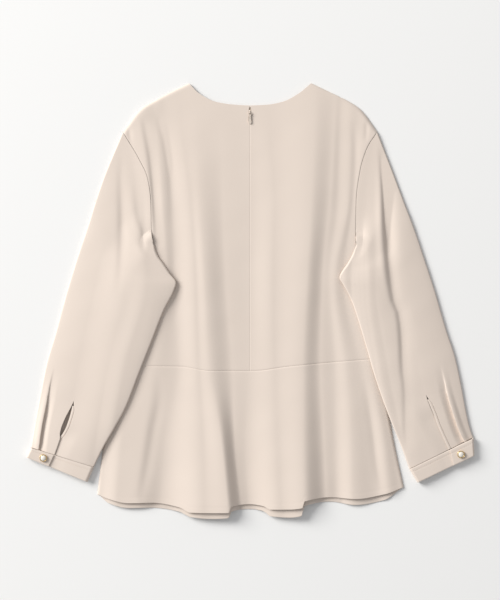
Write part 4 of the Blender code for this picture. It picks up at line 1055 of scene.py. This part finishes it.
def pull():
    y = np.array([row[0] for row in PULL])
    half_width = np.array([row[1] for row in PULL])
    edge = [(w, v) for v, w in PULL] + [(-w, v) for v, w in PULL[::-1]]
    eye = [(w, v) for v, w in PULL_EYE] + [(-w, v) for v, w in PULL_EYE[::-1]]
    edge = along(edge + edge[:1], np.linspace(0, 1, 73))[:-1]
    eye = along(eye + eye[:1], np.linspace(0, 1, 73))[:-1]
    eye_middle = np.array([0, -1.65])
    order = np.argsort(np.arctan2(*(eye - eye_middle).T))
    eye = eye[order]
    order = np.argsort(np.arctan2(*(edge - eye_middle).T))
    edge = edge[order]
    tilt = math.asin(0.5 / 17)
    rings = []
    half = PULL_THICKNESS / 2
    soft = 0.16
    for line, inwards, z in ((edge, soft, half), (edge, 0, half - soft), (edge, 0, soft - half), (edge, soft, -half),
                             (eye, -soft, -half), (eye, 0, soft - half), (eye, 0, half - soft), (eye, -soft, half)):
        middle = eye_middle if line is eye else np.array([0, -8.0])
        away = line - middle
        away /= np.linalg.norm(away, axis=1)[:, None]
        moved = line - away * inwards
        rings.append([(x, SLIDER_Y + v * math.cos(tilt) - z * math.sin(tilt), PULL_AXIS_Z + v * math.sin(tilt) + z)
                      for x, v in moved])
    bm = bmesh.new()
    skin(bm, rings, loop=True)
    return add_mesh("zip_pull_tab", bm, LACQUER, smooth_shading=False)


tab = pull()
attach(tab, "pull")
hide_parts("zip_pull")

# Each cuff closes with a small pearl button in a thin gold-coloured rim, sewn on above the cuff's lap.
# The rim is turned metal with a rolled lip, and the pearl is a low dome set into it.
BUTTON_LEFT = (-319.2, -242.6)
BUTTON_RIGHT = (326.0, -237.0)
BUTTON_BASE = 9.05
RIM = [(0.0, 0.9), (4.4, 0.9), (4.5, 2.4), (4.65, 2.8), (4.95, 3.0), (5.3, 2.85), (5.6, 2.4), (5.75, 1.7), (5.65, 0.9),
       (5.3, 0.3), (4.8, 0.0), (0.0, 0.0)]
DOME = [(0.0, 4.0), (0.9, 3.95), (1.8, 3.8), (2.7, 3.5), (3.5, 3.1), (4.1, 2.6), (4.4, 2.1), (4.4, 1.2), (0.0, 1.2)]
GOLD = bpy.data.materials.new("gold_rim")
GOLD.use_nodes = True
gold_shader = GOLD.node_tree.nodes["Principled BSDF"]
gold_shader.inputs["Metallic"].default_value = 1.0
gold_place = GOLD.node_tree.nodes.new("ShaderNodeTexCoord")
gold_wear = GOLD.node_tree.nodes.new("ShaderNodeTexNoise")
gold_wear.inputs["Scale"].default_value = 500.0
gold_colour = GOLD.node_tree.nodes.new("ShaderNodeValToRGB")
gold_colour.color_ramp.elements[0].color = (0.70, 0.50, 0.24, 1)
gold_colour.color_ramp.elements[1].color = (0.88, 0.68, 0.36, 1)
gold_rough = GOLD.node_tree.nodes.new("ShaderNodeMapRange")
gold_rough.inputs["To Min"].default_value = 0.16
gold_rough.inputs["To Max"].default_value = 0.34
GOLD.node_tree.links.new(gold_place.outputs["Object"], gold_wear.inputs["Vector"])
GOLD.node_tree.links.new(gold_wear.outputs["Fac"], gold_colour.inputs["Fac"])
GOLD.node_tree.links.new(gold_wear.outputs["Fac"], gold_rough.inputs["Value"])
GOLD.node_tree.links.new(gold_colour.outputs["Color"], gold_shader.inputs["Base Color"])
GOLD.node_tree.links.new(gold_rough.outputs["Result"], gold_shader.inputs["Roughness"])
PEARL = bpy.data.materials.new("button_pearl")
PEARL.use_nodes = True
pearl_shader = PEARL.node_tree.nodes["Principled BSDF"]
pearl_shader.inputs["Roughness"].default_value = 0.22
pearl_shader.inputs["Coat Weight"].default_value = 0.5
pearl_place = PEARL.node_tree.nodes.new("ShaderNodeTexCoord")
pearl_cloud = PEARL.node_tree.nodes.new("ShaderNodeTexNoise")
pearl_cloud.inputs["Scale"].default_value = 260.0
pearl_colour = PEARL.node_tree.nodes.new("ShaderNodeValToRGB")
pearl_colour.color_ramp.elements[0].color = (0.78, 0.73, 0.65, 1)
pearl_colour.color_ramp.elements[1].color = (0.86, 0.83, 0.77, 1)
PEARL.node_tree.links.new(pearl_place.outputs["Object"], pearl_cloud.inputs["Vector"])
PEARL.node_tree.links.new(pearl_cloud.outputs["Fac"], pearl_colour.inputs["Fac"])
PEARL.node_tree.links.new(pearl_colour.outputs["Color"], pearl_shader.inputs["Base Color"])


def turned(name, profile, place, mat, sides=56):
    bm = bmesh.new()
    rings = []
    for radius, z in profile:
        radius = max(radius, 0.01)
        turn = np.linspace(0, 2 * math.pi, sides, endpoint=False)
        rings.append([(place[0] + radius * math.cos(a), place[1] + radius * math.sin(a), BUTTON_BASE + z) for a in turn])
    skin(bm, rings)
    return add_mesh(name, bm, mat)


for place, end in ((BUTTON_LEFT, "left"), (BUTTON_RIGHT, "right")):
    rim_piece = turned("gold_rim_" + end, RIM, place, GOLD)
    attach(rim_piece, "garment")
    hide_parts("button_rim_" + end)
    dome_piece = turned("pearl_" + end, DOME, place, PEARL)
    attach(dome_piece, "garment")
    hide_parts("button_pearl_" + end)

# Lines of stitches hold the cuffs' seam and the slits' bindings down.
# Each stitch is a short length of thread that dips into the cloth at both ends.
STITCH = 2.4
STITCH_GAP = 0.7
THREAD_RADIUS = 0.17


# The height of a finished piece's upper face over a point of the plan
def face_above(obj, x, y):
    hit, place, normal, index = obj.ray_cast(Vector((x * MM, y * MM, 0.1)), Vector((0, 0, -1)))
    return place.z / MM if hit else None


def stitch_line(name, under, line):
    bpy.context.view_layer.update()
    cloth_piece = under.evaluated_get(bpy.context.evaluated_depsgraph_get())
    line = np.array(line, float)
    length = np.hypot(*np.diff(line, axis=0).T).sum()
    bm = bmesh.new()
    for start in np.arange(0.6, length - STITCH, STITCH + STITCH_GAP):
        places = along(line, (start + STITCH * np.linspace(0, 1, 5)) / length)
        path = []
        for (x, y), lift in zip(places, (-0.2, 0.12, 0.16, 0.12, -0.2)):
            z = face_above(cloth_piece, x, y)
            if z is not None:
                path.append((x, y, z + lift))
        if len(path) == 5:
            skin(bm, rod_rings(path, THREAD_RADIUS, (0, 0, 1), count=6))
    stitches = add_mesh(name, bm, THREAD)
    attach(stitches, "garment")
    return stitches


for side, corners, end in ((-1, CUFF_LEFT, "left"), (1, CUFF_RIGHT, "right")):
    outer_seam, inner_seam, outer_hem, inner_hem = [np.array(corner) for corner in corners]
    row_start = outer_seam + 0.24 * (outer_hem - outer_seam)
    row_end = inner_seam + 0.24 * (inner_hem - inner_seam)
    row = [row_start + share * (row_end - row_start) for share in np.linspace(0.05, 0.95, 12)]
    stitch_line("cuff_stitches_" + end, cuffs[side], row)
for side, rows, end in ((-1, SLEEVE_LEFT, "left"), (1, SLEEVE_RIGHT, "right")):
    t = np.linspace(9.5, 11.9, 30)
    slit = section(rows, 6, t)
    gap, bound, share = slit_edges(side, t)
    sleeve_width = sleeve_surface(side, rows, t, t * 0, t * 0, 0, False)[1]
    w = slit - side * (gap / 2 + 0.78 * bound) / sleeve_width
    line = sleeve_surface(side, rows, t, w, 1 + 0 * w, 1.0 * (side < 0))[0]
    stitch_line("slit_stitches_" + end, strips[side], line[:, :2])


# The stage is a pale table under soft studio light that comes low from the left, a little from above the neck.
floor_mat = bpy.data.materials.new("pale_table")
floor_mat.use_nodes = True
floor_mat.node_tree.nodes["Principled BSDF"].inputs["Base Color"].default_value = (0.865, 0.865, 0.857, 1)
floor_mat.node_tree.nodes["Principled BSDF"].inputs["Roughness"].default_value = 0.9
floor_mesh = bpy.data.meshes.new("table")
bm = bmesh.new()
bmesh.ops.create_grid(bm, x_segments=2, y_segments=2, size=8)
bmesh.ops.translate(bm, verts=bm.verts, vec=(0, 0, -0.0004))
bm.to_mesh(floor_mesh)
bm.free()
floor_mesh.materials.append(floor_mat)
table = bpy.data.objects.new("table", floor_mesh)
bpy.context.scene.collection.objects.link(table)

key = bpy.data.lights.new("key", "AREA")
key.shape = "RECTANGLE"
key.size = 5.0
key.size_y = 4.3
key.energy = 1210.0
key.color = (1.0, 0.985, 0.965)
key_obj = bpy.data.objects.new("key", key)
key_obj.location = (-7.2, 4.2, 4.25)
key_obj.rotation_euler = (Vector((0.0, 0.0, 0.0)) - key_obj.location).to_track_quat("-Z", "Y").to_euler()
bpy.context.scene.collection.objects.link(key_obj)

world = bpy.data.worlds.new("studio")
world.use_nodes = True
world.node_tree.nodes["Background"].inputs["Color"].default_value = (0.98, 0.985, 1.0, 1)
world.node_tree.nodes["Background"].inputs["Strength"].default_value = 0.45
bpy.context.scene.world = world
bpy.context.scene.view_settings.view_transform = "Standard"

camera = bpy.data.cameras.new("camera")
camera.lens = 100.6
camera.sensor_width = 36.0
camera.clip_end = 50.0
camera_obj = bpy.data.objects.new("camera", camera)
camera_obj.location = (0.0, 0.00155, 2.6)
bpy.context.scene.collection.objects.link(camera_obj)
bpy.context.scene.camera = camera_obj

bpy.context.view_layer.update()
